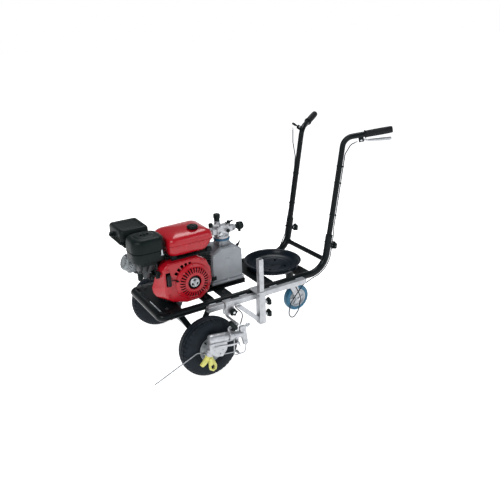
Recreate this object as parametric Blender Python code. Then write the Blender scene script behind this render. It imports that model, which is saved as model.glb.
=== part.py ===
"""Walk-behind line striping machine: petrol engine, diaphragm pump, side spray gun, bucket tray.

Machine axes while modelling: +X is the machine's left side, +Y points rearward, +Z is up.
The front axle is at Y = 0 and the ground is at Z = GROUND.  Every finished part is then moved by
SHIFT, so that the origin ends at the bottom centre of the whole machine.
"""
import math

import bmesh
import bpy
from mathutils import Matrix, Vector

for old in list(bpy.data.objects):
    bpy.data.objects.remove(old, do_unlink=True)

# ---------------------------------------------------------------- driving dimensions (metres)
SHIFT = Vector((-0.0265, -0.3715, 0.0040))
GAP = 0.0003            # gap kept between touching parts

RAIL_X = 0.168          # half distance between the two main tubes
RAIL_Z = 0.272          # height of the main tubes' axis
RAIL_R = 0.0175         # main tube radius
RAIL_FRONT = -0.120     # where the side tubes meet the front tube
LEAN = math.radians(9.2)        # rearward lean of the uprights
CORNER_Y = 0.7356       # where rail axis and upright axis would cross
SLEEVE_TOP_Z = 0.455    # top of the lower upright
HANDLE_R = 0.0135       # handle tube radius
HANDLE_TOP_Z = 0.935    # corner between upright and grip
GRIP_DIR = Vector((0.574, 0.803, 0.164)).normalized()
GRIP_REACH = 0.225      # tube length after the top corner

DECK_TOP = RAIL_Z + RAIL_R      # top of the crossmembers
BASE_Z = DECK_TOP + GAP         # underside of engine, pump and tray

TRACK_X = 0.2815        # half the distance between the front wheels' middles
WHEEL_R = 0.1400
WHEEL_W = 0.080
AXLE_R = 0.010
AXLE_Z = 0.1360
GROUND = AXLE_Z - WHEEL_R

CASTER_Y = 0.640        # swivel axis of the rear wheel
CASTER_TRAIL = 0.040
CASTER_R = 0.0720
CASTER_W = 0.036

CRANK_Y = 0.010
CRANK_Z = 0.400

PUMP_X = 0.010
PUMP_Y = 0.238

TRAY_Y = 0.532
TRAY_R = 0.147

RODS_X = 0.1985         # silver accessory rail
SLEEVE_Y = 0.314
GUN_X = 0.352
CARRIAGE_Y = 0.152


# ---------------------------------------------------------------- mesh helpers
def mesh_from(bm, name="m"):
    bmesh.ops.recalc_face_normals(bm, faces=bm.faces)
    me = bpy.data.meshes.new(name)
    bm.to_mesh(me)
    bm.free()
    return me


def stack(rings, closed=False):
    """Skin a row of rings, all with the same number of points, into one closed body."""
    bm = bmesh.new()
    rows = [[bm.verts.new(p) for p in ring] for ring in rings]
    n = len(rows[0])
    pairs = list(zip(rows, rows[1:]))
    if closed:
        pairs.append((rows[-1], rows[0]))
    for a, b in pairs:
        for i in range(n):
            j = (i + 1) % n
            bm.faces.new((a[i], a[j], b[j], b[i]))
    if not closed:
        bm.faces.new(list(reversed(rows[0])))
        bm.faces.new(rows[-1])
    return mesh_from(bm)


def axes_for(direction):
    """Two unit vectors square to a direction."""
    d = Vector(direction).normalized()
    side = Vector((0, 0, 1)) if abs(d.z) < 0.9 else Vector((0, 1, 0))
    u = side.cross(d).normalized()
    return u, d.cross(u).normalized()


def circle(center, u, v, r, n, turn=0.0):
    c = Vector(center)
    out = []
    for i in range(n):
        a = turn + 2 * math.pi * i / n
        out.append(c + u * (r * math.cos(a)) + v * (r * math.sin(a)))
    return out


def lathe(center, direction, profile, n=24, closed=False):
    """Turn (distance along, radius) pairs about an axis through center."""
    c = Vector(center)
    d = Vector(direction).normalized()
    u, v = axes_for(d)
    return stack([circle(c + d * s, u, v, r, n) for s, r in profile], closed)


def rod(a, b, r, n=16):
    a, b = Vector(a), Vector(b)
    return lathe(a, b - a, [(0, r), ((b - a).length, r)], n)


def ring(a, b, r_out, r_in, n=24):
    a, b = Vector(a), Vector(b)
    length = (b - a).length
    return lathe(a, b - a, [(0, r_in), (0, r_out), (length, r_out), (length, r_in)], n, True)


def fillet(points, radius, steps=6):
    """Round the corners of a polyline with arcs."""
    pts = [Vector(p) for p in points]
    out = [pts[0]]
    for a, b, c in zip(pts, pts[1:], pts[2:]):
        d0, d1 = (a - b).normalized(), (c - b).normalized()
        half = d0.angle(d1) / 2
        t = min(radius / math.tan(half), 0.49 * (a - b).length, 0.49 * (c - b).length)
        r = t * math.tan(half)
        mid = b + (d0 + d1).normalized() * (r / math.sin(half))
        p0, p1 = b + d0 * t, b + d1 * t
        e0, e1 = p0 - mid, p1 - mid
        sweep_angle = e0.angle(e1)
        for k in range(steps + 1):
            f = k / steps
            w0 = math.sin((1 - f) * sweep_angle) / math.sin(sweep_angle)
            w1 = math.sin(f * sweep_angle) / math.sin(sweep_angle)
            out.append(mid + e0 * w0 + e1 * w1)
    out.append(pts[-1])
    return out


def sweep(path, r, n=16, bore=0.0, depth=0.0):
    """A round bar along a path; a bore can be sunk into its far end."""
    pts = [Vector(p) for p in path]
    tangents = []
    for i in range(len(pts)):
        a = pts[max(i - 1, 0)]
        b = pts[min(i + 1, len(pts) - 1)]
        before = (pts[i] - a).normalized() if i else (b - pts[i]).normalized()
        after = (b - pts[i]).normalized() if i < len(pts) - 1 else before
        tangents.append((before + after).normalized())
    u, v = axes_for(tangents[0])
    rings = []
    for i, (p, t) in enumerate(zip(pts, tangents)):
        if i:
            turn = tangents[i - 1].rotation_difference(t)
            u = turn @ u
        u = (u - t * u.dot(t)).normalized()
        v = t.cross(u).normalized()
        rings.append(circle(p, u, v, r, n))
    if bore:
        end, t = pts[-1], tangents[-1]
        rings.append(circle(end, u, v, bore, n))
        rings.append(circle(end - t * depth, u, v, bore, n))
    return stack(rings)


def block(lo, hi, bevel=0.0, segments=1, only=None):
    """A box; only='z' bevels just its upright edges."""
    bm = bmesh.new()
    bmesh.ops.create_cube(bm, size=1.0)
    lo, hi = Vector(lo), Vector(hi)
    size, mid = hi - lo, (hi + lo) / 2
    for vert in bm.verts:
        vert.co = Vector([vert.co[k] * size[k] + mid[k] for k in range(3)])
    if bevel:
        edges = list(bm.edges)
        if only:
            k = "xyz".index(only)
            edges = [e for e in edges
                     if abs(e.verts[0].co[k] - e.verts[1].co[k]) > 0.5 * size[k]]
        bmesh.ops.bevel(bm, geom=edges, offset=bevel, segments=segments, profile=0.5,
                        affect="EDGES", clamp_overlap=True)
    return mesh_from(bm)


def prism(outline, axis, lo, hi, bevel=0.0, segments=1):
    """Extrude a 2D outline along x, y or z.  Outline axes are (y, z), (x, z) or (x, y)."""
    def at(p, h):
        if axis == "x":
            return Vector((h, p[0], p[1]))
        if axis == "y":
            return Vector((p[0], h, p[1]))
        return Vector((p[0], p[1], h))
    me = stack([[at(p, lo) for p in outline], [at(p, hi) for p in outline]])
    if bevel:
        bm = bmesh.new()
        bm.from_mesh(me)
        bmesh.ops.bevel(bm, geom=list(bm.edges), offset=bevel, segments=segments, profile=0.5,
                        affect="EDGES", clamp_overlap=True)
        me = mesh_from(bm)
    return me


def boolean(base, other, operation):
    a = bpy.data.objects.new("base", base)
    b = bpy.data.objects.new("tool", other)
    for ob in (a, b):
        bpy.context.scene.collection.objects.link(ob)
    mod = a.modifiers.new("bool", "BOOLEAN")
    mod.operation = operation
    mod.solver = "EXACT"
    mod.object = b
    bpy.context.view_layer.update()
    graph = bpy.context.evaluated_depsgraph_get()
    me = bpy.data.meshes.new_from_object(a.evaluated_get(graph))
    for ob in (a, b):
        bpy.data.objects.remove(ob, do_unlink=True)
    bm = bmesh.new()
    bm.from_mesh(me)
    bmesh.ops.remove_doubles(bm, verts=bm.verts, dist=0.00001)
    bmesh.ops.dissolve_degenerate(bm, edges=bm.edges, dist=0.00001)
    bm.to_mesh(me)
    bm.free()
    return me


def fuse(base, *others):
    for other in others:
        base = boolean(base, other, "UNION")
    return base


def cut(base, *tools):
    for tool in tools:
        base = boolean(base, tool, "DIFFERENCE")
    return base


def tilted(me, angle, axis, center):
    """Turn a mesh about an axis through center."""
    c = Vector(center)
    me.transform(Matrix.Translation(c) @ Matrix.Rotation(angle, 4, axis)
                 @ Matrix.Translation(-c))
    return me


MATERIALS = {}


def material(name, colour, rough, metal):
    if name not in MATERIALS:
        mat = bpy.data.materials.new(name)
        mat.use_nodes = True
        shader = mat.node_tree.nodes["Principled BSDF"]
        shader.inputs["Base Color"].default_value = (*colour, 1.0)
        shader.inputs["Roughness"].default_value = rough
        shader.inputs["Metallic"].default_value = metal
        mat.diffuse_color = (*colour, 1.0)
        MATERIALS[name] = mat
    return MATERIALS[name]


BLACK = ("black_paint", (0.022, 0.026, 0.032), 0.35, 0.0)
DARK_CAST = ("dark_cast", (0.045, 0.048, 0.052), 0.55, 0.3)
RED = ("red_paint", (0.42, 0.022, 0.030), 0.28, 0.0)
SILVER = ("silver_steel", (0.62, 0.64, 0.66), 0.35, 0.9)
GREY_CAST = ("grey_cast", (0.36, 0.38, 0.41), 0.55, 0.4)
RUBBER = ("black_rubber", (0.018, 0.022, 0.028), 0.75, 0.0)
RIM_GREY = ("rim_grey", (0.55, 0.57, 0.60), 0.4, 0.5)
TEAL = ("teal_tread", (0.045, 0.22, 0.30), 0.5, 0.0)
PLASTIC = ("black_plastic", (0.02, 0.022, 0.026), 0.5, 0.0)
YELLOW = ("yellow_plastic", (0.72, 0.62, 0.16), 0.45, 0.0)
BLUE = ("blue_ring", (0.03, 0.16, 0.28), 0.4, 0.0)
STEEL = ("dark_steel", (0.30, 0.31, 0.33), 0.4, 0.9)


def part(name, me, look, pivot=(0, 0, 0)):
    """Make the named object, with its origin on its joint axis or at the machine's datum."""
    p = Vector(pivot)
    me.name = name
    me.transform(Matrix.Translation(-p))
    ob = bpy.data.objects.new(name, me)
    bpy.context.scene.collection.objects.link(ob)
    ob.location = p + SHIFT
    me.materials.clear()
    me.materials.append(material(*look))
    me.shade_smooth()
    me.set_sharp_from_angle(angle=math.radians(35))
    return ob


# ---------------------------------------------------------------- shared points
def upright_point(z, s):
    """Point on an upright's axis at height z, on side s (+1 left, -1 right)."""
    return Vector((s * RAIL_X, CORNER_Y + (z - RAIL_Z) * math.tan(LEAN), z))


def upright_dir():
    return Vector((0, math.sin(LEAN), math.cos(LEAN)))


def upright_back():
    """Unit vector square to the upright, pointing rearward and a little down."""
    return Vector((0, math.cos(LEAN), -math.sin(LEAN)))


def grip_dir(s):
    return Vector((s * GRIP_DIR.x, GRIP_DIR.y, GRIP_DIR.z))


def star_knob(center, direction, r, height, stud_r, stud_len, neck=0.0):
    """Five-lobed clamping knob; center is its inner face and direction points outward."""
    c, d = Vector(center), Vector(direction).normalized()
    u, v = axes_for(d)
    n = 20

    def lobed(h, scale, depth):
        pts = []
        for i in range(n):
            a = 2 * math.pi * i / n
            rr = scale * (1 - depth * (0.5 - 0.5 * math.cos(5 * a)))
            pts.append(c + d * h + u * (rr * math.cos(a)) + v * (rr * math.sin(a)))
        return pts
    rings = [lobed(-stud_len, stud_r, 0), lobed(0, stud_r, 0), lobed(0, r * 0.42, 0),
             lobed(neck + height * 0.25, r, 0.28), lobed(neck + height * 0.85, r, 0.28),
             lobed(neck + height, r * 0.75, 0.15)]
    return stack(rings)


# ---------------------------------------------------------------- frame
def build_frame():
    for s, side in ((1, "left"), (-1, "right")):
        top = upright_point(SLEEVE_TOP_Z, s)
        path = fillet([(s * RAIL_X, RAIL_FRONT + GAP, RAIL_Z),
                       (s * RAIL_X, CORNER_Y, RAIL_Z), top], 0.11, 7)
        tube = sweep(path, RAIL_R, 16, 0.0143, 0.088)
        knob = upright_point(0.400, s)
        boss_end = knob + upright_back() * (RAIL_R + 0.006)
        boss = rod(knob + upright_back() * 0.0160, boss_end, 0.009, 12)
        hole = rod(knob, boss_end + upright_back() * 0.01, 0.0049, 12)
        part("frame_side_tube_" + side, cut(fuse(tube, boss), hole), BLACK)

    front = fillet([(-RAIL_X, RAIL_FRONT, RAIL_Z), (-RAIL_X, -0.166, RAIL_Z),
                    (RAIL_X, -0.166, RAIL_Z), (RAIL_X, RAIL_FRONT, RAIL_Z)], 0.042, 4)
    part("frame_front_tube", sweep(front, RAIL_R, 16), BLACK)

    bar = upright_point(0.326, 1)
    x = RAIL_X - RAIL_R - GAP
    part("frame_crossbar", rod((-x, bar.y, bar.z), (x, bar.y, bar.z), 0.0125, 16), BLACK)

    x = RAIL_X - 0.0136
    z0, z1 = DECK_TOP - 0.006, DECK_TOP
    outline = [(-x, -0.146), (x, -0.146), (x, -0.060), (0.088, -0.060), (0.088, 0.050),
               (x, 0.050), (x, 0.105), (0.078, 0.105), (0.078, 0.142), (x, 0.142), (x, 0.200),
               (0.078, 0.200), (0.078, 0.322), (-0.090, 0.322), (-0.090, 0.200), (-x, 0.200),
               (-x, 0.142), (-0.095, 0.142), (-0.095, 0.105), (-x, 0.105), (-x, 0.050),
               (-0.095, 0.050), (-0.095, -0.060), (-x, -0.060)]
    plinth = block((PUMP_X - 0.064, 0.118, z1 - 0.001), (PUMP_X + 0.064, 0.321, z1 + 0.014),
                   0.004, 1, "z")
    part("base_plate", fuse(prism(outline, "z", z0, z1), plinth), BLACK)
    plate = block((-x, 0.360, z0), (x, 0.430, z1), 0.0)
    lip = block((-x + 0.005, 0.4245, z0 - 0.024), (x - 0.005, 0.430, z0 + 0.001))
    part("tray_crossmember", fuse(plate, lip), BLACK)

    x = RAIL_X - RAIL_R - GAP
    plate = block((-x, CASTER_Y - 0.040, DECK_TOP - 0.034), (x, CASTER_Y + 0.040, DECK_TOP - 0.026))
    low = GROUND + 2 * CASTER_R + 0.0285
    socket = rod((0, CASTER_Y, low), (0, CASTER_Y, DECK_TOP - 0.030), 0.021, 16)
    bore = rod((0, CASTER_Y, 0.10), (0, CASTER_Y, DECK_TOP), 0.0106, 16)
    part("caster_crossmember", cut(fuse(plate, socket), bore), BLACK)

    for s, side in ((1, "left"), (-1, "right")):
        x0, x1 = s * (RAIL_X - 0.004), s * (RAIL_X + 0.004)
        foot = RAIL_Z - RAIL_R - GAP
        outline = [(-0.085, foot), (-0.055, foot), (-0.004, AXLE_Z + 0.024),
                   (0.004, AXLE_Z + 0.024), (0.055, foot), (0.085, foot),
                   (0.024, AXLE_Z + 0.004), (0.022, AXLE_Z - 0.014),
                   (0.0, AXLE_Z - 0.024), (-0.022, AXLE_Z - 0.014), (-0.024, AXLE_Z + 0.004)]
        vee = prism(outline, "x", min(x0, x1), max(x0, x1))
        hole = rod((s * 0.1, 0, AXLE_Z), (s * 0.25, 0, AXLE_Z), AXLE_R + GAP, 20)
        part("axle_bracket_" + side, cut(vee, hole), BLACK)


# ---------------------------------------------------------------- front wheels and axle
def build_wheels():
    end = TRACK_X + 0.034
    profile = [(-end - 0.006, 0.012), (-end + 0.002, 0.0145), (-end + 0.002, AXLE_R),
               (end - 0.002, AXLE_R), (end - 0.002, 0.0145), (end + 0.006, 0.012)]
    part("front_axle", lathe((0, 0, AXLE_Z), (1, 0, 0), profile, 20), STEEL)
    w = WHEEL_W / 2
    for s, side in ((1, "left"), (-1, "right")):
        c = (s * TRACK_X, 0, AXLE_Z)
        bead = 0.0566
        tyre = [(-0.028, bead), (-w, 0.092), (-w + 0.003, 0.122),
                (-w + 0.016, WHEEL_R - 0.006), (-0.010, WHEEL_R), (0.010, WHEEL_R),
                (w - 0.016, WHEEL_R - 0.006), (w - 0.003, 0.122), (w, 0.092), (0.028, bead)]
        part("front_tyre_" + side, lathe(c, (1, 0, 0), tyre, 30, True), RUBBER, c)
        rim_r = bead - 3 * GAP
        rim = [(-0.030, 0.0104), (-0.030, 0.020), (-0.008, 0.022), (-0.008, 0.044),
               (-0.029, rim_r), (0.029, rim_r), (0.008, 0.044), (0.008, 0.022),
               (0.030, 0.020), (0.030, 0.0104)]
        part("front_rim_" + side, lathe(c, (1, 0, 0), rim, 20, True), RIM_GREY, c)


# ---------------------------------------------------------------- rear caster
def build_caster():
    y, wy, z = CASTER_Y, CASTER_Y + CASTER_TRAIL, GROUND + CASTER_R
    top = z + CASTER_R + 0.012
    crown = block((-0.032, y - 0.026, top), (0.032, y + 0.032, top + 0.005), 0.006, 1, "z")
    race = rod((0, y, top + 0.0045), (0, y, top + 0.0160), 0.024, 16)
    stem = rod((0, y, top + 0.0150), (0, y, DECK_TOP - 0.020), 0.0100, 16)
    fork = fuse(crown, race, stem)
    for s in (1, -1):
        x0, x1 = sorted((s * 0.0250, s * 0.0290))
        leg = prism([(y - 0.020, top + 0.0015), (y + 0.030, top + 0.0015), (wy + 0.016, z + 0.006),
                     (wy + 0.010, z - 0.014), (wy - 0.012, z - 0.014), (wy - 0.018, z + 0.004)],
                    "x", x0, x1)
        fork = fuse(fork, leg)
    pin = rod((-0.034, wy, z), (0.034, wy, z), 0.0050, 12)
    part("caster_fork", fuse(fork, pin), SILVER, (0, y, top))
    w = CASTER_W / 2
    c = (0, wy, z)
    tyre = [(-w + 0.002, 0.0510), (-w, 0.061), (-w + 0.005, CASTER_R - 0.002),
            (0.0, CASTER_R), (w - 0.005, CASTER_R - 0.002), (w, 0.061), (w - 0.002, 0.0510)]
    part("caster_tyre", lathe(c, (1, 0, 0), tyre, 28, True), TEAL, c)
    hub = [(-0.021, 0.0056), (-0.021, 0.015), (-0.006, 0.018), (-0.006, 0.042),
           (-w + 0.002, 0.0500), (w - 0.002, 0.0500), (0.006, 0.042), (0.006, 0.018),
           (0.021, 0.015), (0.021, 0.0056)]
    part("caster_hub", lathe(c, (1, 0, 0), hub, 18, True), RIM_GREY, c)


# ---------------------------------------------------------------- handles
def build_handles():
    for s, side in ((1, "left"), (-1, "right")):
        low = upright_point(SLEEVE_TOP_Z - 0.082, s)
        corner = upright_point(HANDLE_TOP_Z, s)
        g = grip_dir(s)
        path = fillet([low, corner, corner + g * GRIP_REACH], 0.055, 6)
        tube = sweep(path, HANDLE_R, 14)
        if s > 0:
            # lug for the squeeze lever, under the start of the grip
            drop = (Vector((0, 0, -1)) + g * g.z).normalized()
            across, along = g.cross(drop).normalized(), g
            hub = corner + g * 0.080
            pivot = hub + drop * 0.0255
            lug = oriented_block(hub + drop * 0.0225, along, across, drop, (0.024, 0.011, 0.024))
            slot = oriented_block(pivot + drop * 0.004, along, across, drop, (0.060, 0.0050, 0.019))
            lever_path = [pivot - along * 0.004, pivot + along * 0.012,
                          pivot + along * 0.030 + drop * 0.004, pivot + along * 0.140 + drop * 0.012]
            look = SILVER
        else:
            # lug for the lever that reaches forward from the top bend
            along = (path[5] - path[3]).normalized()
            ahead = Vector((0, -1, 0.10))
            drop = (ahead - along * ahead.dot(along)).normalized()
            across = along.cross(drop).normalized()
            hub = path[4]
            pivot = hub + drop * 0.0255
            lug = oriented_block(hub + drop * 0.0225, along, across, drop, (0.020, 0.011, 0.024))
            slot = oriented_block(pivot + drop * 0.004, along, across, drop, (0.060, 0.0050, 0.019))
            lever_path = [pivot - drop * 0.004, pivot + drop * 0.016, pivot + drop * 0.042]
            look = PLASTIC
        part("handle_tube_" + side, cut(fuse(tube, lug), slot), BLACK, corner)
        thick = drop if s > 0 else along
        part("lever_" + side, strip(lever_path, across, 0.0040, thick, 0.0060), look, pivot)

        start, length = 0.098, 0.132
        base = corner + g * start
        bore = HANDLE_R + GAP
        grip = [(0, bore), (0, 0.0195), (0.006, 0.0195), (0.008, 0.0165), (length - 0.010, 0.0170),
                (length, 0.0140), (length, 0.004), (length - 0.0045, 0.004),
                (length - 0.0045, bore)]
        part("grip_" + side, lathe(base, g, grip, 16, True), RUBBER, base)

        knob = upright_point(0.400, s) + upright_back() * (RAIL_R + 0.0085)
        part("handle_knob_" + side,
             star_knob(knob, upright_back(), 0.0215, 0.020, 0.0042, 0.0090), PLASTIC, knob)


def oriented_block(center, a, b, c, size):
    """A box with its edges along three given unit vectors."""
    rings = []
    for h in (-0.5, 0.5):
        rings.append([center + a * (h * size[0]) + b * (p * size[1]) + c * (q * size[2])
                      for p, q in ((-0.5, -0.5), (0.5, -0.5), (0.5, 0.5), (-0.5, 0.5))])
    return stack(rings)


def strip(path, wide_dir, width, thick_dir, thick):
    """A flat bar along a path."""
    w, t = wide_dir * (width / 2), thick_dir * (thick / 2)
    return stack([[p - w - t, p + w - t, p + w + t, p - w + t] for p in path])


# ---------------------------------------------------------------- silver rail and carriage
def build_side_rail():
    r = 0.0125
    z = RAIL_Z - 0.008
    outer = block((RODS_X - r, 0.047, z - r), (RODS_X + r, 0.593, z + r))
    inner = block((RODS_X - r + 0.002, 0.0, z - r + 0.002), (RODS_X + r - 0.002, 0.7, z + r - 0.002))
    part("accessory_rail", cut(outer, inner), SILVER)

    # upright square sleeve, its clamp on the rail and its diagonal brace
    px = RODS_X + r + GAP + 0.0165
    y, w = SLEEVE_Y, 0.0165
    z1 = z + r + GAP
    body = block((px - w, y - w, 0.130), (px + w, y + w, z1))
    cap = block((RAIL_X - 0.004, y - 0.028, DECK_TOP + GAP), (px + w, y + 0.028, DECK_TOP + 0.0045))
    web = block((px - w, y - w, z1 - 0.001), (px + w, y + w, DECK_TOP + 0.002))
    sleeve = fuse(body, web, cap)
    hole = block((px - 0.0128, y - 0.0128, 0.10), (px + 0.0128, y + 0.0128, 0.34))
    holes = [rod((px, y, zz), (px, y + 0.05, zz), 0.0047, 12) for zz in (0.230, 0.168)]
    low, high = 0.136, z - r - GAP
    y0 = y - w + 0.001
    outline = [(y0, low), (y0, low + 0.030), (y0 - 0.088, high), (y0 - 0.118, high)]
    brace = prism(outline, "x", px - 0.0160, px + 0.0060)
    part("height_sleeve", cut(fuse(sleeve, brace), hole, *holes), SILVER)

    part("height_post", cut(block((px - 0.0122, y - 0.0122, 0.132), (px + 0.0122, y + 0.0122, 0.458)),
                            block((px - 0.0100, y - 0.0100, 0.05), (px + 0.0100, y + 0.0100, 0.50))),
         SILVER, (px, y, 0.25))
    for name, zz in (("post_knob_upper", 0.230), ("post_knob_lower", 0.168)):
        c = (px, y + w + 0.0012, zz)
        part(name, star_knob(c, (0, 1, 0), 0.0205, 0.018, 0.0041, 0.0050, 0.016), PLASTIC, c)

    # gun carriage, sliding on the rail, with a lug below for the arm and its knob
    cy, cw = CARRIAGE_Y, 0.022
    outer = block((RODS_X - r, cy - cw, 0.2160), (RODS_X + r + 0.007, cy + cw, z + r + 0.006))
    slot = block((RODS_X - r - 0.002, cy - 0.1, z - r - 0.0004),
                 (RODS_X + r + 0.0004, cy + 0.1, z + r + 0.0004))
    tap = rod((RODS_X + 0.004, cy + 0.012, 0.231), (RODS_X + 0.05, cy + 0.012, 0.231), 0.0047, 12)
    part("gun_carriage", cut(outer, slot, tap), SILVER, (RODS_X, cy, z))
    c = (RODS_X + r + 0.0082, cy + 0.012, 0.231)
    part("carriage_knob", star_knob(c, (1, 0, 0), 0.0195, 0.016, 0.0041, 0.0070, 0.003), PLASTIC, c)


# ---------------------------------------------------------------- spray gun
def build_gun():
    x = GUN_X
    rear, nose = Vector((x, 0.142, 0.1865)), Vector((x, -0.032, 0.2110))
    d, length = (nose - rear).normalized(), (nose - rear).length
    barrel = lathe(rear, d, [(0, 0.010), (0.008, 0.0150), (0.0846, 0.0150), (0.0860, 0.0200),
                             (length - 0.006, 0.0200), (length, 0.0150)], 20)
    head = prism([(-0.036, 0.195), (0.050, 0.186), (0.052, 0.158), (0.047, 0.142), (0.026, 0.116),
                  (-0.010, 0.124), (-0.036, 0.150)], "x", x - 0.0165, x + 0.0165, 0.004, 1)
    seat = Vector((x, -0.034, 0.1335))
    h = Vector((0, -0.27, -0.963)).normalized()
    nut = lathe(seat - h * 0.029, h, [(0, 0.0130), (0.004, 0.0160), (0.029 - GAP, 0.0160)], 16)
    grip = prism([(0.122, 0.2240), (0.151, 0.2240), (0.160, 0.1340), (0.139, 0.1280)], "x",
                 x - 0.0065, x + 0.0065)
    fitting = lathe((x, 0.144, 0.2150), (0, 1, 0.30), [(0, 0.006), (0.012, 0.006), (0.012, 0.0085),
                                                      (0.032, 0.0085)], 10)
    pivot = Vector((0.3280, 0.118, 0.0895))
    guard = sweep(fillet([(x, 0.154, 0.1370), (x, 0.146, pivot.z), (x, 0.090, pivot.z),
                          (x, 0.094, 0.1850)], 0.012, 2), 0.0026, 6)
    pin = rod((pivot.x + 0.0034, pivot.y, pivot.z), (x, pivot.y, pivot.z), 0.0035, 10)
    part("gun_body", fuse(barrel, head, nut, grip, fitting, guard, pin), SILVER)

    lever = prism([(0.103, 0.1700), (0.112, 0.1725), (0.120, 0.1340), (0.113, 0.1310)], "x",
                  x - 0.0045, x + 0.0045)
    part("gun_trigger", lever, STEEL, (x, 0.1075, 0.1700))

    # arm from the carriage round the outside of the front wheel to the gun barrel
    mid = rear + d * 0.0687
    clampring = ring(mid - d * 0.009, mid + d * 0.009, 0.0205, 0.0154, 16)
    start = Vector((RODS_X + 0.004, CARRIAGE_Y - 0.008, 0.2160 - GAP))
    radial = Vector((-0.6, 0.8 * d.z, -0.8 * d.y))
    path = fillet([start, start + Vector((0, 0, -0.0125)), (x - 0.020, 0.128, 0.2250),
                   mid + radial * 0.034, mid + radial * 0.0180], 0.012, 2)
    part("gun_arm", fuse(sweep(path, 0.0060, 8), clampring), SILVER)

    # tip guard with a straight wing and an open loop, and the reversible spray tip in it
    guard = lathe(seat, h, [(0, 0.0170), (0.014, 0.0170), (0.022, 0.0140)], 16)
    wing = prism([(-0.0530, 0.1335), (-0.0378, 0.1089), (-0.0708, 0.0882), (-0.0811, 0.0997)], "x",
                 x - 0.0050, x + 0.0050)
    loop = prism([(-0.0400, 0.1310), (-0.0190, 0.1240), (-0.0003, 0.0757), (-0.0033, 0.0572),
                  (-0.0190, 0.0493), (-0.0371, 0.0620), (-0.0385, 0.0976)], "x", x - 0.0050, x + 0.0050)
    gap = prism([(-0.0260, 0.1043), (-0.0110, 0.0735), (-0.0130, 0.0625), (-0.0200, 0.0590),
                 (-0.0285, 0.0660)], "x", x - 0.02, x + 0.02)
    axis_at = seat + h * 0.0085
    bore = rod(axis_at - Vector((0.03, 0, 0)), axis_at + Vector((0.03, 0, 0)), 0.0053, 16)
    nozzle = lathe(seat, h, [(-0.01, 0.0030), (0.03, 0.0042)], 12)
    part("tip_guard", cut(fuse(guard, wing, loop), gap, bore, nozzle), YELLOW)
    stem = rod(axis_at - Vector((0.013, 0, 0)), axis_at + Vector((0.0185, 0, 0)), 0.0049, 16)
    flag_x = axis_at.x + 0.0175
    flag = prism([(axis_at.y - 0.0060, axis_at.z + 0.0050), (axis_at.y + 0.0060, axis_at.z + 0.0050),
                  (axis_at.y + 0.0100, axis_at.z - 0.0280), (axis_at.y - 0.0020, axis_at.z - 0.0340),
                  (axis_at.y - 0.0080, axis_at.z - 0.0240)], "x", flag_x, flag_x + 0.005)
    part("spray_tip", fuse(stem, flag), YELLOW, axis_at)

    # guide pointer: thin rod running forward beside the gun, then down to the ground
    path = fillet([(pivot.x, 0.122, 0.0888), (pivot.x, 0.035, 0.1010), (pivot.x, -0.078, 0.1480),
                   (0.3480, -0.292, 0.0800)], 0.03, 3)
    part("guide_pointer", sweep(path, 0.0026, 8), STEEL, pivot)


# ---------------------------------------------------------------- bucket tray
def build_tray():
    r, z0 = TRAY_R, BASE_Z
    profile = [(0.0, 0.002), (0.0, r - 0.020), (0.006, r - 0.012), (0.026, r - 0.010),
               (0.030, r), (0.035, r - 0.002), (0.033, r - 0.012), (0.020, r - 0.022),
               (0.010, r - 0.036), (0.003, r - 0.050), (0.003, 0.002)]
    part("bucket_tray", lathe((0, TRAY_Y, z0), (0, 0, 1), profile, 30, True), BLACK)


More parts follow.
